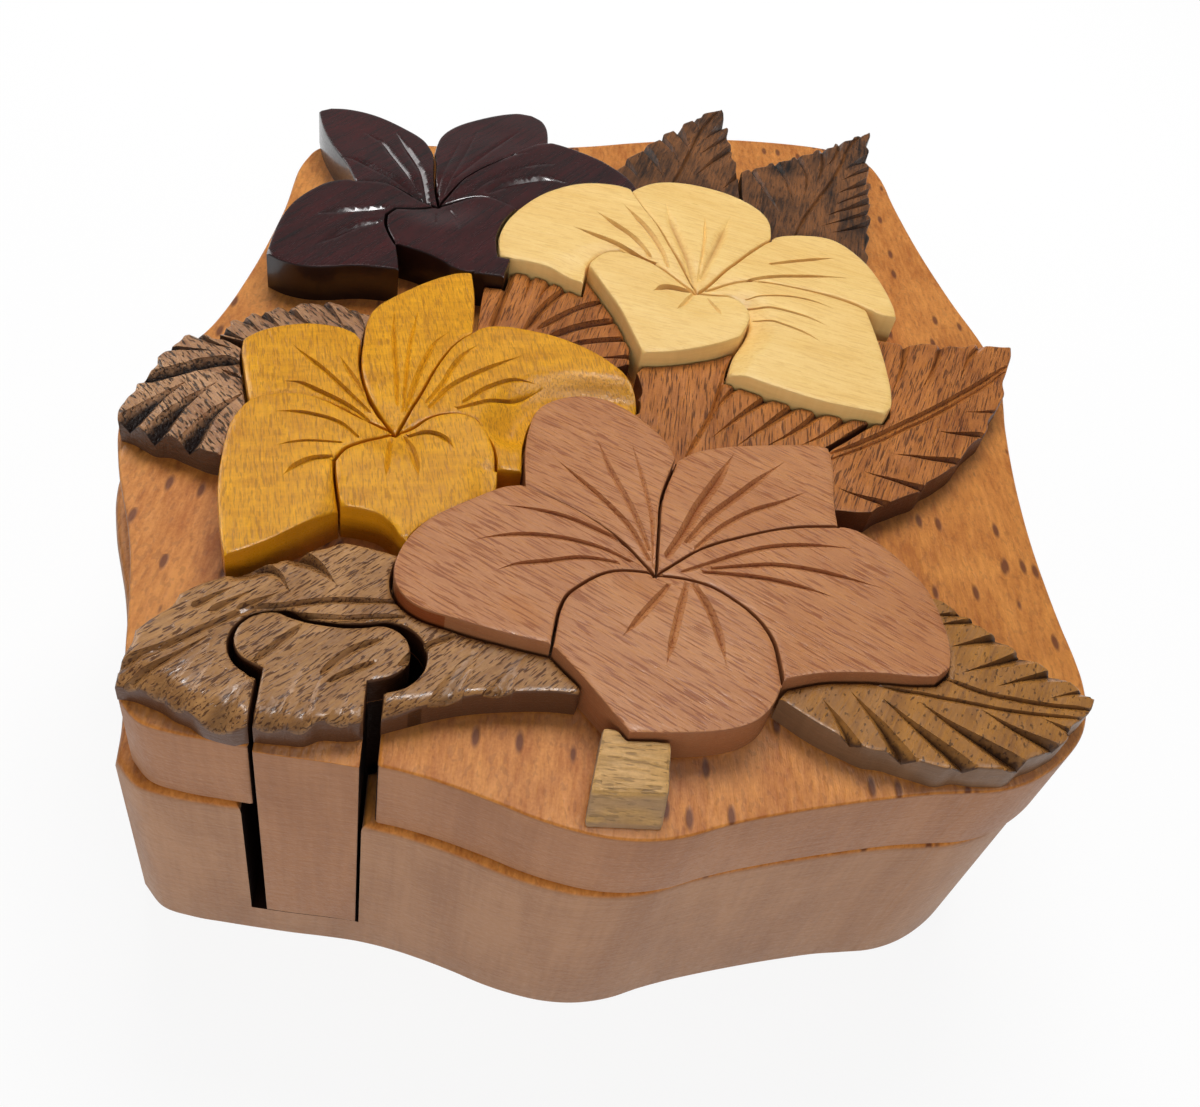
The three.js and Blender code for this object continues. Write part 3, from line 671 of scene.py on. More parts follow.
# Oiled beech: mottled orange brown, with dark lens-shaped rays along the grain.
beech_look = dict(
    light="#D88E42", dark="#AC6222", groove="#200E05", pore="#5E2C18",
    fibre=(3, 0.7), figure=(14, 5), cloud=0.9, pores=(1.4, 0.7), pore_share=0.12, pore_strength=0.2,
    rays=(3.4, 1.1), gloss=0.35, relief=0.14,
)
beech = wood("oiled_beech", side="#AE8261", **beech_look)
# The lid's and the key's edges got some of the oil of their tops.
lid_beech = wood("oiled_lid_beech", side="#A87754", **beech_look)
# Plain sawn beech, left without oil inside the box.
plain_beech = wood(
    "plain_beech", "#C99B70", "#B5835A", "#A98468", "#6E4526", "#8A5A38",
    rays=(3, 0.7), roughness=0.58,
)
# Pinkish, with thin reddish dashes, under satin oil.
cherry = wood(
    "oiled_cherry", "#CC8E5A", "#A8683E", "#9A6440", "#84421F", "#83401F",
    fibre=(4, 0.4), figure=(30, 4), contrast=0.45, pores=(4.5, 0.3), pore_share=0.28, pore_strength=0.62,
    roughness=0.3, gloss=0.4, pooled_oil_and_shade=0.75,
)
# Golden yellow, with a silky cross figure under gloss lacquer.
golden = wood(
    "golden_satinwood", "#F6B020", "#BE7A04", "#D88C10", "#6A3604", "#94580C",
    fibre=(4, 0.3), figure=(1.4, 7), cloud=0.4, contrast=0.36, pores=(2, 0.26), pore_share=0.25,
    pore_strength=0.5, roughness=0.2, gloss=0.4, relief=0.07, pooled_oil_and_shade=0.8,
)
# Pale cream, very fine and smooth.
holly = wood(
    "waxed_holly", "#FAD68A", "#E9BA66", "#F4CC84", "#A8682A", "#D29A48",
    fibre=(9, 0.5), figure=(40, 5), contrast=0.4, pores=(3, 0.4), pore_strength=0.3, roughness=0.35,
    relief=0.05, pooled_oil_and_shade=0.7,
)
# Stained maroon, under many coats of lacquer.
rosewood = wood(
    "lacquered_rosewood", "#420C0E", "#180606", "#1C0806", "#1A0708", "#100405",
    fibre=(10, 0.5), figure=(30, 3), pore_strength=0.4, roughness=0.24, coat=0.5, relief=0.02,
    side_relief=0.01, pooled_oil_and_shade=0.2,
)
# Brown, its thin dark pores as long dashes.
walnut = wood(
    "oiled_walnut", "#BC8A54", "#7E532C", "#5A3A26", "#3A2010", "#4A2814",
    fibre=(4, 0.4), figure=(18, 2.5), cloud=1.1, contrast=0.42, pores=(1.6, 0.26), pore_share=0.26,
    pore_strength=0.85, roughness=0.24, relief=0.05,
)
# Golden brown sapwood with a few black pits.
pale_walnut = wood(
    "oiled_pale_walnut", "#B47C3A", "#86582A", "#7A5A40", "#2E1506", "#2A160A",
    fibre=(5, 0.5), figure=(18, 3), pores=(0.9, 0.45), pore_share=-0.05, pore_strength=0.7, roughness=0.3,
    gloss=0.4, relief=0.05, pooled_oil_and_shade=0.9,
)
# Warm orange brown, with fine dark fibres.
padauk = wood(
    "oiled_padauk", "#C87E3A", "#844616", "#5A3118", "#3E1A08", "#3E1A08",
    fibre=(5, 0.35), figure=(20, 2), cloud=0.9, contrast=0.42, pores=(3.6, 0.22), pore_share=0.24,
    pore_strength=0.75, roughness=0.34, gloss=0.4, pooled_oil_and_shade=0.8,
)
# Heartwood, clouded from tan to nearly black.
dark_walnut = wood(
    "oiled_dark_walnut", "#845228", "#0C0603", "#3E2A1A", "#140A04", "#1A0E08",
    fibre=(9, 0.45), figure=(24, 2.2), cloud=1.6, contrast=0.36, pores=(2.4, 0.3), roughness=0.34,
    pooled_oil_and_shade=0.7,
)
# Grey brown, its pores torn open by the gouge.
coarse_walnut = wood(
    "coarse_walnut", "#CE9E72", "#744628", "#5A3C28", "#1C0C06", "#1C1008",
    fibre=(2, 0.4), figure=(14, 2), contrast=0.4, pores=(1.8, 0.4), pore_share=0.3, pore_strength=0.85,
    roughness=0.3, relief=0.14, side_relief=0.25, pooled_oil_and_shade=1.0,
)
# Pale, with rough fibres and a weathered grey front.
twig_wood = wood(
    "peeled_twig", "#DEAC68", "#AE8448", "#AC8A68", "#6E5630", "#70522A",
    fibre=(4, 0.7), figure=(9, 1.6), pores=(2.4, 0.5), pore_strength=0.5, roughness=0.5, relief=0.3,
    side_relief=0.2,
)


def felt_material():
    """Pressed wool felt: matt, with short hairs in every direction."""
    m = new_material("brown_felt")
    place = add_node(m, "TexCoord", {}).outputs["Object"]
    pile = {"Vector": place, "Scale": 1 / (0.5 * MM), "Detail": 5, "Distortion": 1.5}
    hairs = add_node(m, "TexNoise", pile).outputs["Fac"]
    cloudy = {"Vector": place, "Scale": 1 / (8 * MM), "Detail": 3}
    patches = add_node(m, "TexNoise", cloudy).outputs["Fac"]
    share = stretch(m, calculate(m, "MULTIPLY", hairs, patches), (0.12, 0.4))
    return finished(
        m,
        Base_Color=blend(m, share, linear("#1F0F0D"), linear("#3C221D")),
        Roughness=0.95,
        Normal=bumped(m, hairs, 0.8, 0.25),
        Sheen_Weight=0.3,
        Sheen_Roughness=0.6,
    )


felt = felt_material()

# Gouge cuts: their width and points, and their kind where it isn't the usual one of the piece. Veins
# run from the tip of a petal to its heart, and notches from their point out to the edge.
cuts_of = {}
cuts_of["pink_petal_back_left"] = [
    (1.0, (-2.95, -31.5), (-1.4, -38.4), (0, -46.3), (0.5, -55)),
    (1.4, (-7.9, -31.7), (-5.6, -38.4), (-2.9, -44.7), (-0.3, -52)),
    (1.4, (-13.5, -37), (-10.8, -39.9), (-6.6, -44.2), (-2.9, -48.9), (-0.3, -53.6)),
]
cuts_of["pink_petal_back_right"] = [
    (2.5, (12.5, -29.7), (9.7, -36.3), (6.5, -43.1), (4.4, -48.4), (2.3, -52.6)),
    (1.9, (19.7, -30.5), (16.5, -34.2), (12.3, -39.4), (8.1, -44.7), (4.9, -50)),
    (1.5, (22.6, -36.3), (18.6, -39.4), (14.4, -42), (9.7, -46.3), (6, -51)),
]
cuts_of["pink_petal_right"] = [
    (1.4, (28.4, -46.6), (23.9, -47), (19.7, -47.8), (14.9, -49.4), (11.3, -51.3), (7.6, -53.6),
        (4.4, -55.2)),
    (1.4, (31.3, -53.1), (26.5, -52.3), (21.3, -51.8), (16.5, -52), (12.3, -53.1), (8.1, -54.4)),
    (1.4, (24.4, -56), (20.2, -55.2), (15.5, -54.7), (10.7, -54.9), (7, -55.2)),
]
cuts_of["pink_petal_front"] = [
    (1.6, (-3.5, -67.3), (-2.4, -65.7), (0.2, -61.5), (2.3, -57.8)),
    (1.7, (2, -70.5), (2.8, -66.8), (3.6, -62.6), (4.7, -57.3)),
    (1.8, (9.4, -69.4), (8.9, -66.3), (7.8, -62.1), (5.5, -57.3)),
]
cuts_of["pink_petal_left"] = [
    (1.3, (-20, -48.2), (-15.6, -48.2), (-11.4, -48.9), (-7.2, -50.5), (-2.9, -52.6), (-0.3, -54.7)),
    (1.3, (-22.9, -55), (-20.3, -53.9), (-16.1, -52.8), (-11.4, -52.7), (-7.2, -53.4), (-2.9, -54.7)),
    (1.3, (-19.8, -59.7), (-17.2, -58.1), (-13.5, -57), (-9.3, -55.7), (-4.5, -55.5)),
]
cuts_of["yellow_petal_back"] = [
    (1.3, (-39.75, -9), (-39.25, -13), (-38.5, -17.5), (-37.25, -24), (-36, -31)),
    (1.0, (-36.25, -7.5), (-36.25, -12), (-36.25, -17.5), (-35.75, -24), (-35, -32)),
    (1.4, (-30.75, -12.5), (-32.5, -15.5), (-33.5, -20), (-34.25, -26), (-34.6, -32)),
]
cuts_of["yellow_petal_right"] = [
    (1.3, (-26, -15), (-28, -18), (-29.5, -22), (-30.5, -26), (-32, -30)),
    (1.4, (-19.5, -15.75), (-22.5, -18.5), (-26, -22), (-29, -25.5), (-31.5, -31)),
    (1.4, (-17, -20.75), (-20, -21.5), (-23.5, -24), (-27, -28.5)),
    (1.3, (-16.25, -21.25), (-20, -25), (-24, -27.5), (-27.5, -30)),
]
cuts_of["yellow_petal_front"] = [
    (1.2, (-35.25, -45.5), (-35.5, -42), (-35.75, -38)),
    (1.6, (-31, -44.5), (-32, -41.5), (-33.25, -38.5), (-34, -37.25)),
    (1.5, (-27, -38.5), (-29, -36.5), (-31.5, -36), (-33.5, -36.75)),
]
cuts_of["yellow_petal_front_left"] = [
    (1.2, (-51.75, -36.5), (-49, -35.9), (-46, -36), (-43, -36.75), (-40, -39)),
    (0.8, (-50, -42.75), (-47, -41.25), (-42, -40.5)),
    (1.6, (-48, -48), (-47, -46.25), (-45, -44.25), (-42, -43.25)),
]
cuts_of["yellow_petal_left"] = [
    (1.3, (-52.75, -21), (-50.5, -23), (-47, -26), (-43, -30), (-39.5, -33.5)),
    (1.3, (-45.75, -22), (-44, -25), (-42, -28), (-40, -31), (-38, -34)),
    (1.5, (-52.5, -29.5), (-50, -29.25), (-47, -30.5), (-43, -32.5), (-39.5, -35)),
]
cuts_of["cream_petal_left"] = [
    (1.8, (-14.3, 21.8), (-11.1, 20.5), (-6.9, 18.6), (-3.2, 16.3), (0.5, 14.4)),
    (1.8, (-10.3, 27.6), (-7.4, 24.9), (-3.7, 21.3), (-0.6, 16.5)),
    (1.8, (-5.6, 31.3), (-3.2, 27.6), (-0.6, 23.4), (1.5, 18.1), (2.6, 14.4)),
]
cuts_of["cream_petal_back"] = [
    (3.4, (2.5, 34.7), (3.1, 30.2), (4.7, 23.4), (6.3, 16.5), (7.3, 11.8), "open vein"),
    (1.2, (9.7, 33.4), (9.6, 28.6), (9.3, 23.4), (8.6, 17.6), (8.1, 12.3)),
    (3.4, (14.6, 34.4), (13.1, 29.2), (11.5, 23.4), (9.9, 18.1), (8.6, 13.4), "open vein"),
]
cuts_of["cream_petal_right"] = [
    (1.3, (33.6, 26.3), (29.9, 24.7), (25.7, 22.8), (21, 20.3)),
    (1.4, (35.5, 20.2), (31, 19.2), (26.8, 18.1), (21.5, 16.3), (17.3, 13.9), (13.6, 10.7)),
]
cuts_of["cream_petal_front_right"] = [
    (0.7, (32, 9.2), (28.4, 10.5), (24.2, 10.8), (19.9, 9.9), (16.3, 8.6)),
    (0.9, (30.5, 3.9), (26.8, 5.7), (22.6, 6.5), (18.4, 6.8), (14.2, 7.1)),
    (0.8, (28.6, -0.8), (25.7, 1.3), (21.5, 2.8), (17.3, 3.9)),
]
cuts_of["cream_petal_front"] = [
    (2.2, (0.2, 6.3), (2.6, 8.5), (6.8, 9.2)), (1.4, (3.9, 1.8), (5.2, 3.9), (6.5, 7.1), (7.6, 9.2)),
    (1.2, (11.5, 2.1), (10.7, 4.4), (9.7, 7.1)),
]
cuts_of["dark_petal_back_left"] = [
    (2.0, (-52.75, 42.4), (-50, 40.5), (-47, 36), (-44, 31), (-41, 26)),
    (2.5, (-47.75, 44.5), (-46, 41), (-43.5, 36.5), (-41.5, 32), (-40, 27), (-39, 23)),
    (2.2, (-55.75, 33.2), (-52.5, 32.5), (-49, 30.5), (-44.5, 27.5), (-41, 24.75)),
]
cuts_of["dark_petal_back"] = [
    (1.2, (-25.75, 53.2), (-27.5, 50), (-29.5, 46), (-31.5, 41.5), (-33.5, 37), (-35.5, 32)),
    (0.9, (-33.5, 50.5), (-35, 39.5), (-36, 33), (-37, 26)), (0.9, (-36, 46.5), (-37.75, 32), (-38, 24)),
]
cuts_of["dark_petal_right"] = [
    (2.0, (-23.75, 44), (-26.5, 42), (-30, 38), (-33, 33.5), (-35, 30)),
    (1.5, (-18.5, 42.25), (-21.5, 40.75), (-25.5, 37.5), (-29, 33.5), (-31.5, 29)),
    (3.0, (-15.75, 37.25), (-19.5, 37.25), (-23.5, 35), (-27, 32), (-29.5, 29)),
]
cuts_of["dark_petal_front_left"] = [
    (2.5, (-54, 5), (-51.5, 9), (-49, 12), (-46, 14)),
    (2.5, (-55.25, 13.5), (-52.5, 15.5), (-49, 17), (-45.5, 18.5)),
]
cuts_of["dark_petal_front"] = [
    (1.2, (-36.85, 16.5), (-37, 18.5), (-37.25, 20.5)),
    (1.2, (-32.75, 15), (-33.25, 18), (-34, 20.5), (-35, 22.5)),
]
cuts_of["front_left_leaf"] = [
    (1.2, (-59.5, -79.5), (-55, -75.4), (-50.4, -71.3), (-47.3, -68.7), (-43.5, -67.6), (-40, -66.3),
        (-36.9, -65.6), (-33.8, -65.2), (-30, -64.7), "rib"),
    (1.1, (-43.1, -68.7), (-40, -68.7), (-36.9, -68.4), (-33.1, -67.6), (-29.6, -66.9), "rib"),
    (1.2, (-49.6, -65.4), (-53.5, -69.2)), (1.2, (-47.3, -65.4), (-51.2, -69.4)),
    (1.2, (-44.6, -65.6), (-48.2, -68.6)), (3.0, (-43.5, -65.2), (-46, -62.6), (-50.2, -63.4)),
    (3.0, (-38.5, -63), (-41.5, -60.6), (-44.4, -59.6)),
    (1.4, (-52, -72.4), (-55.5, -75.6), (-59, -78.6)), (1.4, (-50.5, -73), (-54, -77), (-57.5, -80.6)),
    (2.4, (-50.6, -75), (-52.5, -78), (-54.6, -82), "flute"),
    (2.2, (-49.6, -76.5), (-50.8, -79.5), (-52.2, -83), "flute"),
    (3.4, (-44.4, -76.6), (-46, -79.8), (-47.4, -84.6), "flute"),
    (1.1, (-41.2, -70.4), (-43, -73), (-45, -76), "rib"),
    (3.2, (-39.6, -76.5), (-40.9, -80), (-42, -85), "flute"),
    (2.6, (-37.3, -76.4), (-38, -80), (-38.6, -85), "flute"),
    (3.0, (-34, -78.5), (-34.3, -81), (-34.6, -84.6), "flute"),
    (1.2, (-32, -71), (-34.8, -73), (-37.4, -76.6), "rib"),
    (1.1, (-31.9, -74.2), (-34.2, -75.8), (-36.4, -77.6), "rib"),
    (1.1, (-23, -68.5), (-27, -71.5), (-29, -74), "rib"),
    (3.2, (-19.2, -68.6), (-21, -72), (-23.6, -79), "flute"),
    (3.2, (-14.4, -69.6), (-15.8, -72.6), (-18.2, -78.6), "flute"),
]
cuts_of["key_cap"] = cuts_of["front_left_leaf"]
cuts_of["front_right_leaf"] = [
    (1.0, (38, -65.2), (40, -65.9), (43, -66.9), (47, -67.4), (51.7, -67.6), (58, -67.4), "rib"),
    (0.8, (28, -67.6), (31, -68.2), (35.7, -68.5), (40.7, -68.9), (45.3, -69.3), (50, -69.3),
        (57, -69), "rib"),
    (2.2, (21.8, -71.2), (23.5, -74.3), (25.4, -78.6)), (2.8, (25.6, -69.6), (28.5, -74), (31.6, -79.6)),
    (2.8, (29.5, -70), (33, -73.5), (36, -76.3), (39.4, -79.6)),
    (3.0, (34.4, -69.8), (38, -72.7), (41.5, -75), (46, -78)), (2.4, (42.4, -69.8), (46, -72), (52, -75)),
    (1.6, (50.4, -69.8), (52.5, -70.8), (55.6, -72.4)), (1.8, (38, -55), (41.5, -54.3), (44.6, -53.6)),
    (1.8, (38.6, -56.6), (42, -55.6), (46.4, -54.6)), (2.4, (40.3, -59.9), (44, -58.6), (49, -57)),
    (2.4, (41.3, -63.9), (46, -61.9), (52.4, -59)), (2.2, (45.6, -65.3), (50, -63.7), (56, -61.8)),
    (1.4, (52.4, -66.2), (56, -65.1), (59.4, -64.2)),
]
cuts_of["right_leaf"] = [
    (1.2, (28, -24.8), (34.5, -20.2), (40.2, -15.5), (46.2, -10.4), (52.9, -4.2), (59.4, 2.2),
        (62.2, 5.1), "rib"),
    (0.8, (27.8, -26.2), (34.4, -21.5), (40, -17), (45.9, -12.1), (52.6, -5.8), (59.1, 0.7),
        (61.4, 3.2), "rib"),
    (1.7, (40.3, -6.6), (42.4, -1.4), (45, 9)), (1.7, (45.4, -5.2), (48.6, 1.3), (51.9, 9.6)),
    (1.5, (52.8, -0.6), (55.8, 6), (59.6, 11.4)), (1.5, (46.4, -15.6), (49, -15.4), (53.6, -14.8)),
    (1.8, (38.2, -22.7), (43, -22.6), (49.4, -22.3)), (1.8, (33, -27.8), (36.5, -28.7), (43, -30.2)),
    (1.7, (28.2, -32.4), (31, -33.3), (36.6, -34.8)), (0.9, (52, -9.3), (54.4, -8.9), (58, -8)),
]
cuts_of["left_middle_leaf"] = [
    (1.4, (-22.8, 11.5), (-24, 1), (-25, -8), "rib"), (1.7, (-20.4, 3), (-20, 7.5), (-19.5, 12)),
    (1.7, (-18.4, 2.6), (-17, 7), (-15.5, 11.5)), (1.5, (-12, 10), (-16.5, 2.4), (-19.8, -6), "rib"),
    (1.4, (-7.5, 5.2), (-12.4, 1.4), (-17.6, -5), "rib"),
    (1.7, (-5, 0.6), (-10.5, -2.4), (-15.5, -6.5), "rib"),
    (1.4, (-3, -4), (-8.5, -6), (-12, -7.6), "rib"), (1.2, (-9, -10.6), (-5.6, -9.6), (-2, -8.4)),
]
cuts_of["middle_leaf"] = [
    (0.9, (12.8, -6.5), (11.4, -13), (9.5, -20.5), (7.6, -25.4), (5.6, -30.6), "rib"),
    (1.4, (9.6, -21), (12, -15.6), (15.6, -10)), (1.8, (9.6, -25.4), (14.5, -19), (20.6, -12)),
    (1.8, (13.6, -26), (18, -21), (24, -14)), (1.8, (18, -25.4), (23, -20.6), (28.4, -14)),
    (1.7, (23.4, -24), (27.5, -20.5), (32.6, -14.6)), (1.4, (27, -24), (30.6, -20.6), (35.4, -16.4)),
]
cuts_of["back_middle_leaf"] = [
    (0.9, (15.6, 84), (12.8, 77.6), (10.3, 70.5), (8.3, 62.2), (5.8, 52.2), (4, 46), "rib"),
    (2.4, (8.6, 62), (7.4, 66), (5.6, 72)), (2.2, (2.8, 49), (1.4, 55), (-1.4, 61.6)),
    (1.8, (-2, 47.4), (-3, 50.4), (-5.4, 54.6)), (1.6, (6, 56), (4.6, 62), (1.8, 67)),
    (1.6, (10.4, 72), (9.8, 75.4), (8.6, 78.6)), (1.9, (9.2, 52.8), (12.8, 59.7), (17.8, 68)),
    (2.4, (11.6, 68.6), (13.4, 72), (16.6, 78)), (1.6, (14.6, 49.6), (16, 52.4), (18.4, 56.6)),
    (1.6, (10.4, 62), (13.4, 66.6), (16.8, 73)),
]
cuts_of["back_right_leaf"] = [
    (0.9, (48.4, 86), (43.3, 77.2), (40.3, 68), (37, 59.2), (33.7, 51.7), (30.3, 43.8),
        (27.6, 36), "rib"),
    (2.2, (41, 66), (43.4, 69.2), (47.2, 73.4)), (2.0, (38.4, 55.7), (41.6, 59), (46.4, 63.8)),
    (2.0, (35, 46.2), (39.8, 50.2), (46, 55.8)), (1.8, (35.4, 39.9), (39.6, 42.7), (45, 47.2)),
    (1.4, (39.8, 61.4), (42.4, 64.2), (46.6, 68.6)), (1.4, (37.2, 51), (40.6, 54.2), (45.8, 59.4)),
    (1.4, (33.6, 41.8), (38.6, 45.6), (45, 51)), (1.8, (34, 58), (36, 65), (37.2, 74.6)),
    (1.7, (31, 52), (32.3, 61), (31, 69)), (1.5, (28.5, 48), (27.8, 56.3), (25.8, 65)),
    (1.5, (25.4, 44), (22.8, 52.6), (20.6, 60)), (1.5, (37, 66), (39.4, 71), (41.4, 78.6)),
]
cuts_of["left_leaf"] = [
    (2.6, (-71.6, -31.4), (-67.8, -28.7), (-65, -26.4), (-62.2, -24.8), (-59, -24), "rib"),
    (1.2, (-63.6, -22.6), (-67, -23), (-70.4, -23.6)),
    (3.4, (-65.4, -30.4), (-67.5, -34), (-70.6, -41), "gouge"),
    (3.2, (-61.4, -29.5), (-64, -34), (-66.6, -42.4), "gouge"),
    (3.2, (-57, -30.6), (-59.6, -34.6), (-61.8, -43.6), "gouge"),
    (0.9, (-61, -26.6), (-57.5, -28.1), (-54.6, -31), "rib"),
    (1.6, (-61, -21.6), (-65, -20.4), (-68, -18.6)),
]
cuts_of["left_back_leaf"] = [
    (1.8, (-59.4, -19.2), (-61, -18.7), (-64.4, -17.4)),
    (1.8, (-57.6, -17.2), (-59.3, -15.8), (-62.4, -13.4)),
    (1.8, (-54.6, -15.6), (-56.4, -14.3), (-59.8, -11.6)),
    (1.8, (-50.6, -14.2), (-52.8, -12.5), (-56.8, -8.8)), (1.6, (-46, -13.4), (-48.7, -9.9), (-51.8, -6)),
    (1.6, (-43.4, -12.6), (-44.3, -10.8), (-47.4, -6.4)),
]

# Soft hollows: their width, their depth and the line that they follow.
flower_dips = {
    "pink": [(16, 0.9, [(0.7, -55.9)])],
    "yellow": [(12, 0.9, [(-35.4, -36.3)])],
    "cream": [(20, 1.4, [(7.8, 9.4)])],
    "dark": [(20, 1.5, [(-37.4, 23.8)])],
}
front_left_dips = [
    (8, 1.5, [(-60, -80), (-54.6, -83), (-47.4, -85.5), (-42, -86), (-34.6, -85.5), (-28, -82)]),
    (7, 1.0, [(-28, -82), (-23.6, -80), (-13, -79)]),
]
own_dips = {
    "yellow_petal_right": [
        (11, 2.4, [(-19.8, -31.5), (-17.4, -25.6), (-13.5, -22.4), (-7.6, -20.8), (-1.5, -20.5)]),
    ],
    "yellow_petal_front_left": [(7, 1.2, [(-39.5, -44), (-39.5, -50), (-40, -55)])],
    "yellow_petal_front": [(8, 0.8, [(-22, -42), (-21, -47), (-22, -54)])],
    "cream_petal_left": [(9, 0.8, [(-2, 14), (-8, 14), (-13, 9)])],
    "cream_petal_front_right": [(9, 1.6, [(16, 6), (16.4, 1), (13, -6), (11, -11)])],
    "front_left_leaf": front_left_dips,
    "key_cap": front_left_dips,
}

# Wood, grain angle and rounding of the edge.
finishes = {
    "pink": (cherry, -28, 0.35),
    "yellow": (golden, 105, 0.45),
    "cream": (holly, -10, 0.55),
    "dark": (rosewood, 60, 0.4),
    "front_left_leaf": (walnut, 50, 0.5),
    "key_cap": (walnut, 50, 0.5),
    "front_right_leaf": (pale_walnut, 62, 0.35),
    "right_leaf": (padauk, 70, 0.25),
    "left_middle_leaf": (padauk, 80, 0.25),
    "middle_leaf": (padauk, 85, 0.25),
    "back_middle_leaf": (dark_walnut, 78, 0.25),
    "back_right_leaf": (dark_walnut, 80, 0.25),
    "left_leaf": (coarse_walnut, -45, 0.25),
    "left_back_leaf": (coarse_walnut, -45, 0.25),
}
for node in cuts_of:
    look = finishes[node.split("_petal_")[0]]
    flower = node.split("_")[0]
    dips = own_dips.get(node, [])
    if "petal" in node:
        usual = "open vein" if flower == "dark" else "vein"
        carve(node, *look, usual, SMOOTH_GROUND, flower_dips[flower] + dips)
    else:
        carve(node, *look, "notch", COARSE_GROUND if look[0] == coarse_walnut else FINE_GROUND, dips)

# Base, lid and key

CUT_PAST = 1  # how far a cutting tool runs past the face that it opens
RAIL_GLUE_GAP = 0.3
RAIL_SIDE_PLAY = 0.6
RAIL_TOP_PLAY = 0.5
RAIL_END_PLAY = 1
RAIL_ROUND = 0.6
EDGE_ROUND = 0.5
KEY_ROUND = 0.15
BASE_TOP_ROUND = 1.2
CORNER_ROOM = 1.7
GRAIN_ALONG_BOX = 90


def drawn_box(node):
    low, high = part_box(node)
    x0, y0 = np.array(low.xy) / MM - ORIGIN
    x1, y1 = np.array(high.xy) / MM - ORIGIN
    return x0, x1, y0, y1, low.z / MM, high.z / MM


def sawn_board(name, node, side=-1):
    """A board to the outline of the top (1) or bottom (-1) of its node."""
    return board(name, clear_corners(outline_of(node, side), CORNER_ROOM), *levels_of(node))


base_bottom, base_top = levels_of("base_block")
base = sawn_board("beech_base", "base_block")
hollow = outline_of("base_block", nth=1)
cut_out(base, board("hollow", hollow, base_bottom - CUT_PAST, base_top + CUT_PAST))
lid_bottom = levels_of("lid_slab")[0]
lid = sawn_board("beech_lid", "lid_slab", side=1)
plate = sawn_board("beech_bottom_plate", "bottom_plate")
key = sawn_board("beech_key", "key_block")

# The joint of base and bottom plate stays sharp, so it hardly shows.
round_edges(base, BASE_TOP_ROUND, base_top)
round_edges(plate, EDGE_ROUND, 0)
round_edges(lid, EDGE_ROUND)
round_edges(key, KEY_ROUND)

for node in ("front_rail", "back_rail"):
    x0, x1, y0, y1, z0, z1 = drawn_box(node)
    inlet = (x0 - RAIL_GLUE_GAP, x1 + RAIL_GLUE_GAP, y0 - RAIL_GLUE_GAP, y1 + RAIL_GLUE_GAP)
    cut_out(base, bar("inlet", *inlet, z0, base_top + CUT_PAST))
    past_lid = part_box("lid_slab")[1].x / MM
    groove = (x0 - RAIL_END_PLAY, past_lid, y0 - RAIL_SIDE_PLAY, y1 + RAIL_SIDE_PLAY)
    cut_out(lid, bar("groove", *groove, lid_bottom - CUT_PAST, z1 + RAIL_TOP_PLAY))
    rail = bar("beech_" + node, x0, x1, y0, y1, z0, z1)
    round_edges(rail, RAIL_ROUND)
    finish_wood(rail, node, 0, plain_beech)

for piece, node, finish in (
    (base, "base_block", beech),
    (plate, "bottom_plate", beech),
    (lid, "lid_slab", lid_beech),
    (key, "key_block", lid_beech),
):
    mark_cuts(piece)
    finish_wood(piece, node, GRAIN_ALONG_BOX, finish)

# Felt: a laid floor and a strip round the wall

FELT = 1.2
FELT_ROWS = 18
FELT_EDGE = 0.35
PILE = 0.2

floor_ring = outline_of("felt_floor")
floor_bottom, floor_top = levels_of("felt_floor")
flat, faces = flat_net(floor_ring, [], FELT_EDGE)
fluff = floor_top - PILE + lumps(flat, 7, 0.15, 3) + lumps(flat, 1.3, 0.08, 5)
fluff -= 2 * PILE * (1 - ease(away_from(flat, floor_ring, closed=True)[1], 0, 3 * PILE))
felt_floor = net_piece("felt_floor_sheet", flat, faces, fluff, floor_bottom)
put_in_place(felt_floor, "felt_floor", felt)

wall_ring = outline_of("felt_wall", step=LINE_STEP * 2)
wall_bottom, wall_top = levels_of("felt_wall")
wall_height = (wall_top - wall_bottom) * MM
felt_wall = draw("felt_wall_strip", wall_ring, wall_bottom, fill="NOTHING")
bpy.ops.mesh.select_mode(type="EDGE")
for _ in range(FELT_ROWS):
    rise = (0, 0, wall_height / FELT_ROWS)
    bpy.ops.mesh.extrude_region_move(TRANSFORM_OT_translate={"value": rise})
bpy.ops.object.mode_set(mode="OBJECT")
apply_modifier(felt_wall, "SOLIDIFY", thickness=FELT * MM, offset=-1)
round_edges(felt_wall, FELT_EDGE)
put_in_place(felt_wall, "felt_wall", felt)

# Twig

TWIG_FRONT_SLOPE = 2.4
TWIG_ROUND = 0.4
TWIG_FRONT = 2  # what lies nearer to the foot's front is the edge that slopes back
TWIG_FOOT = 1  # what lies lower is its foot, which stays flat
TWIG_ROUGH = 0.5
TWIG_FIBRE = (3, 0.9)  # the length and width of the fibres on its rough top
TWIG_SEED = 7.1
twig_foot = rings_of("twig", -1)[0]
twig_foot = twig_foot[np.linalg.norm(twig_foot - np.roll(twig_foot, 1, axis=0), axis=1) > TWIG_ROUND]
twig_bottom, twig_top = levels_of("twig")
twig = board("twig_stub", twig_foot, twig_bottom, twig_top)
front = twig_foot[:, 1].min() + ORIGIN[1]
for corner in twig.data.vertices:
    if corner.co.z > (twig_bottom + TWIG_FOOT) * MM and corner.co.y < (front + TWIG_FRONT) * MM:
        corner.co.y += TWIG_FRONT_SLOPE * MM
make_active(twig)
bpy.ops.object.mode_set(mode="EDIT")
bpy.ops.mesh.select_all(action="SELECT")
bpy.ops.mesh.bevel(offset=TWIG_ROUND * MM, segments=2, affect="EDGES")
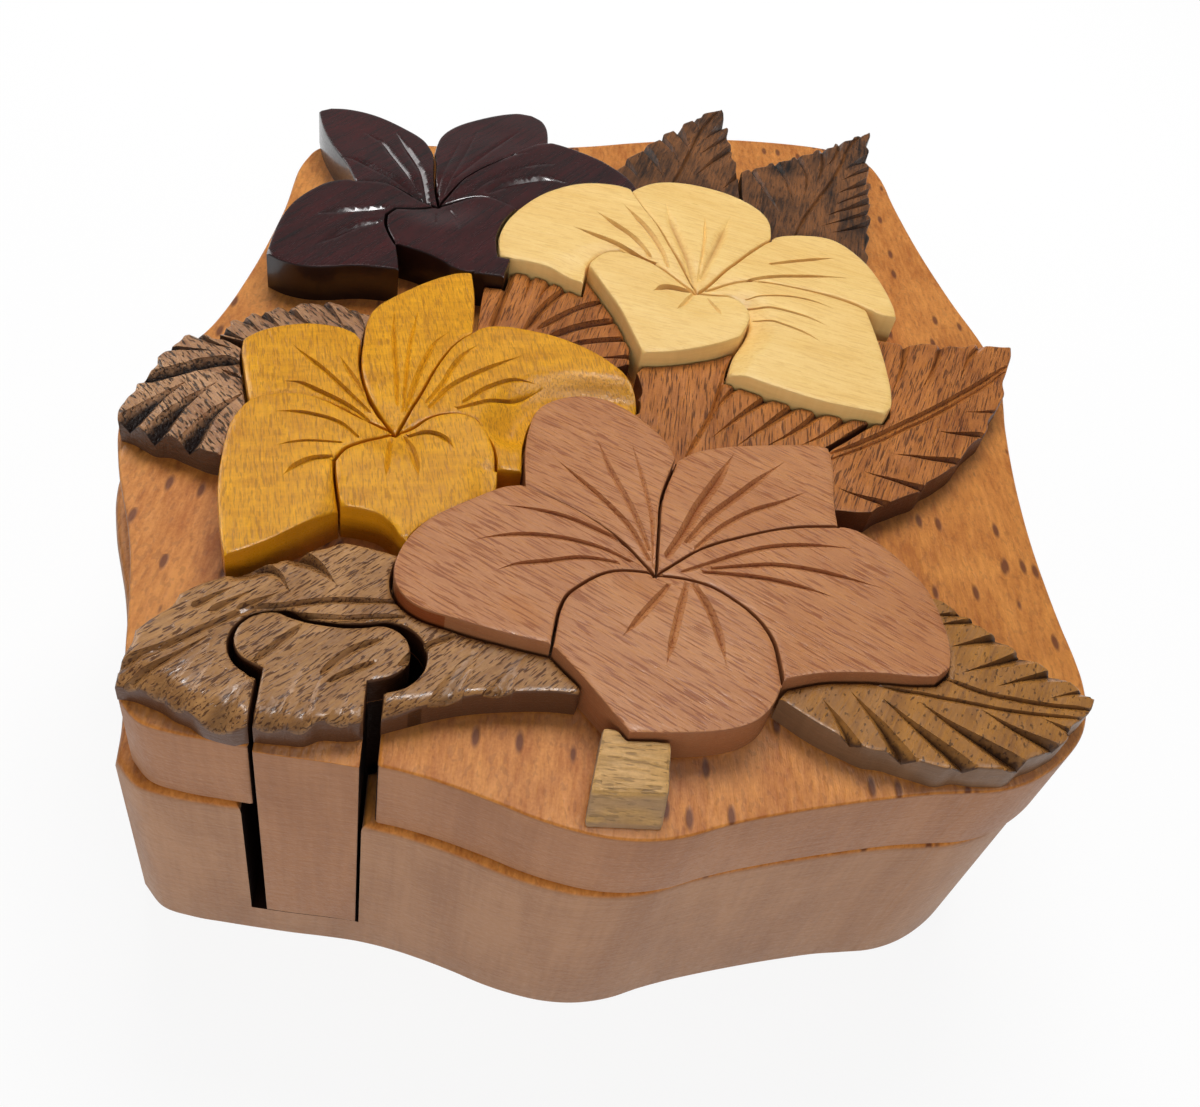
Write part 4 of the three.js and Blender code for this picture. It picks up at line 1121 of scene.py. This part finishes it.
bpy.ops.mesh.subdivide(number_cuts=7)
bpy.ops.object.mode_set(mode="OBJECT")
for corner in twig.data.vertices:
    x, y, z = [share / MM for share in corner.co]
    if z > twig_bottom + TWIG_FOOT:
        place = Vector((x / TWIG_FIBRE[0], y / TWIG_FIBRE[1], TWIG_SEED))
        corner.co.z += TWIG_ROUGH * MM * (noise.noise(place) - 0.5)
finish_wood(twig, "twig", 0, twig_wood)

# Camera, light and floor

camera_data = bpy.data.cameras.new("camera")
camera_data.lens = 34.5
camera_data.sensor_width = 36
camera_data.sensor_fit = "HORIZONTAL"
camera_data.clip_start = 0.01
camera = show("camera", camera_data)
camera.location = (-0.015355, -0.152618, 0.156)
camera.rotation_euler = [math.radians(angle) for angle in (43.4, -9.47, 1.869)]
bpy.context.scene.camera = camera

# The large lights leave no mirror image in the finish, as through a polariser, so it stays clear;
# small ones add only the gleam of edges and gouge cuts. Each is turned to the middle of the box.
for name, place, size, watts, kept_from in (
    ("main", (0.0, 0.36, 0.62), (0.5, 0.35), 4.5, "visible_glossy"),
    ("front", (-0.1, -0.85, 0.24), (0.8, 0.35), 2.9, "visible_glossy"),
    ("gleam", (0.02, -0.02, 0.75), (0.13, 0.13), 1.8, "visible_diffuse"),
    ("left_gleam", (-0.6, 0.42, 0.5), (0.4, 0.3), 1.4, "visible_diffuse"),
    ("right_gleam", (0.45, 0.0, 0.75), (0.3, 0.3), 1.2, "visible_diffuse"),
):
    lamp = bpy.data.lights.new(name, "AREA")
    lamp.shape = "RECTANGLE"
    lamp.size, lamp.size_y = size
    lamp.energy = watts
    holder = show(name, lamp)
    holder.location = place
    holder.rotation_euler = Vector(place).to_track_quat("Z", "Y").to_euler()
    setattr(holder, kept_from, False)

bpy.ops.mesh.primitive_plane_add(size=6)
ground = bpy.context.object
ground.name = "white_floor"
paper = new_material("white_paper_floor")
path = add_node(paper, "LightPath", {})
seen = calculate(paper, "MAXIMUM", path.outputs["Is Camera Ray"], path.outputs["Is Glossy Ray"])
seen = calculate(paper, "MULTIPLY", seen, 0.9)
matt = add_node(paper, "BsdfDiffuse", {"Color": linear("#F7F7F7")}).outputs[0]
glow = add_node(paper, "Emission", {"Color": (1, 1, 1, 1), "Strength": 1.0}).outputs[0]
mixed = add_node(paper, "MixShader", {0: seen, 1: matt, 2: glow}).outputs[0]
add_node(paper, "OutputMaterial", {"Surface": mixed})
ground.data.materials.append(paper)

world = bpy.data.worlds.new("studio")
world.use_nodes = True
world.node_tree.nodes.clear()
path = add_node(world, "LightPath", {})
seen = calculate(world, "MAXIMUM", path.outputs["Is Camera Ray"], path.outputs["Is Transmission Ray"])
strength = stretch(world, seen, (0, 1), (0.2, 1.0))
sky = add_node(world, "Background", {"Color": (1, 1, 1, 1), "Strength": strength}).outputs[0]
add_node(world, "OutputWorld", {"Surface": sky})
bpy.context.scene.world = world
bpy.context.scene.view_settings.view_transform = "Standard"
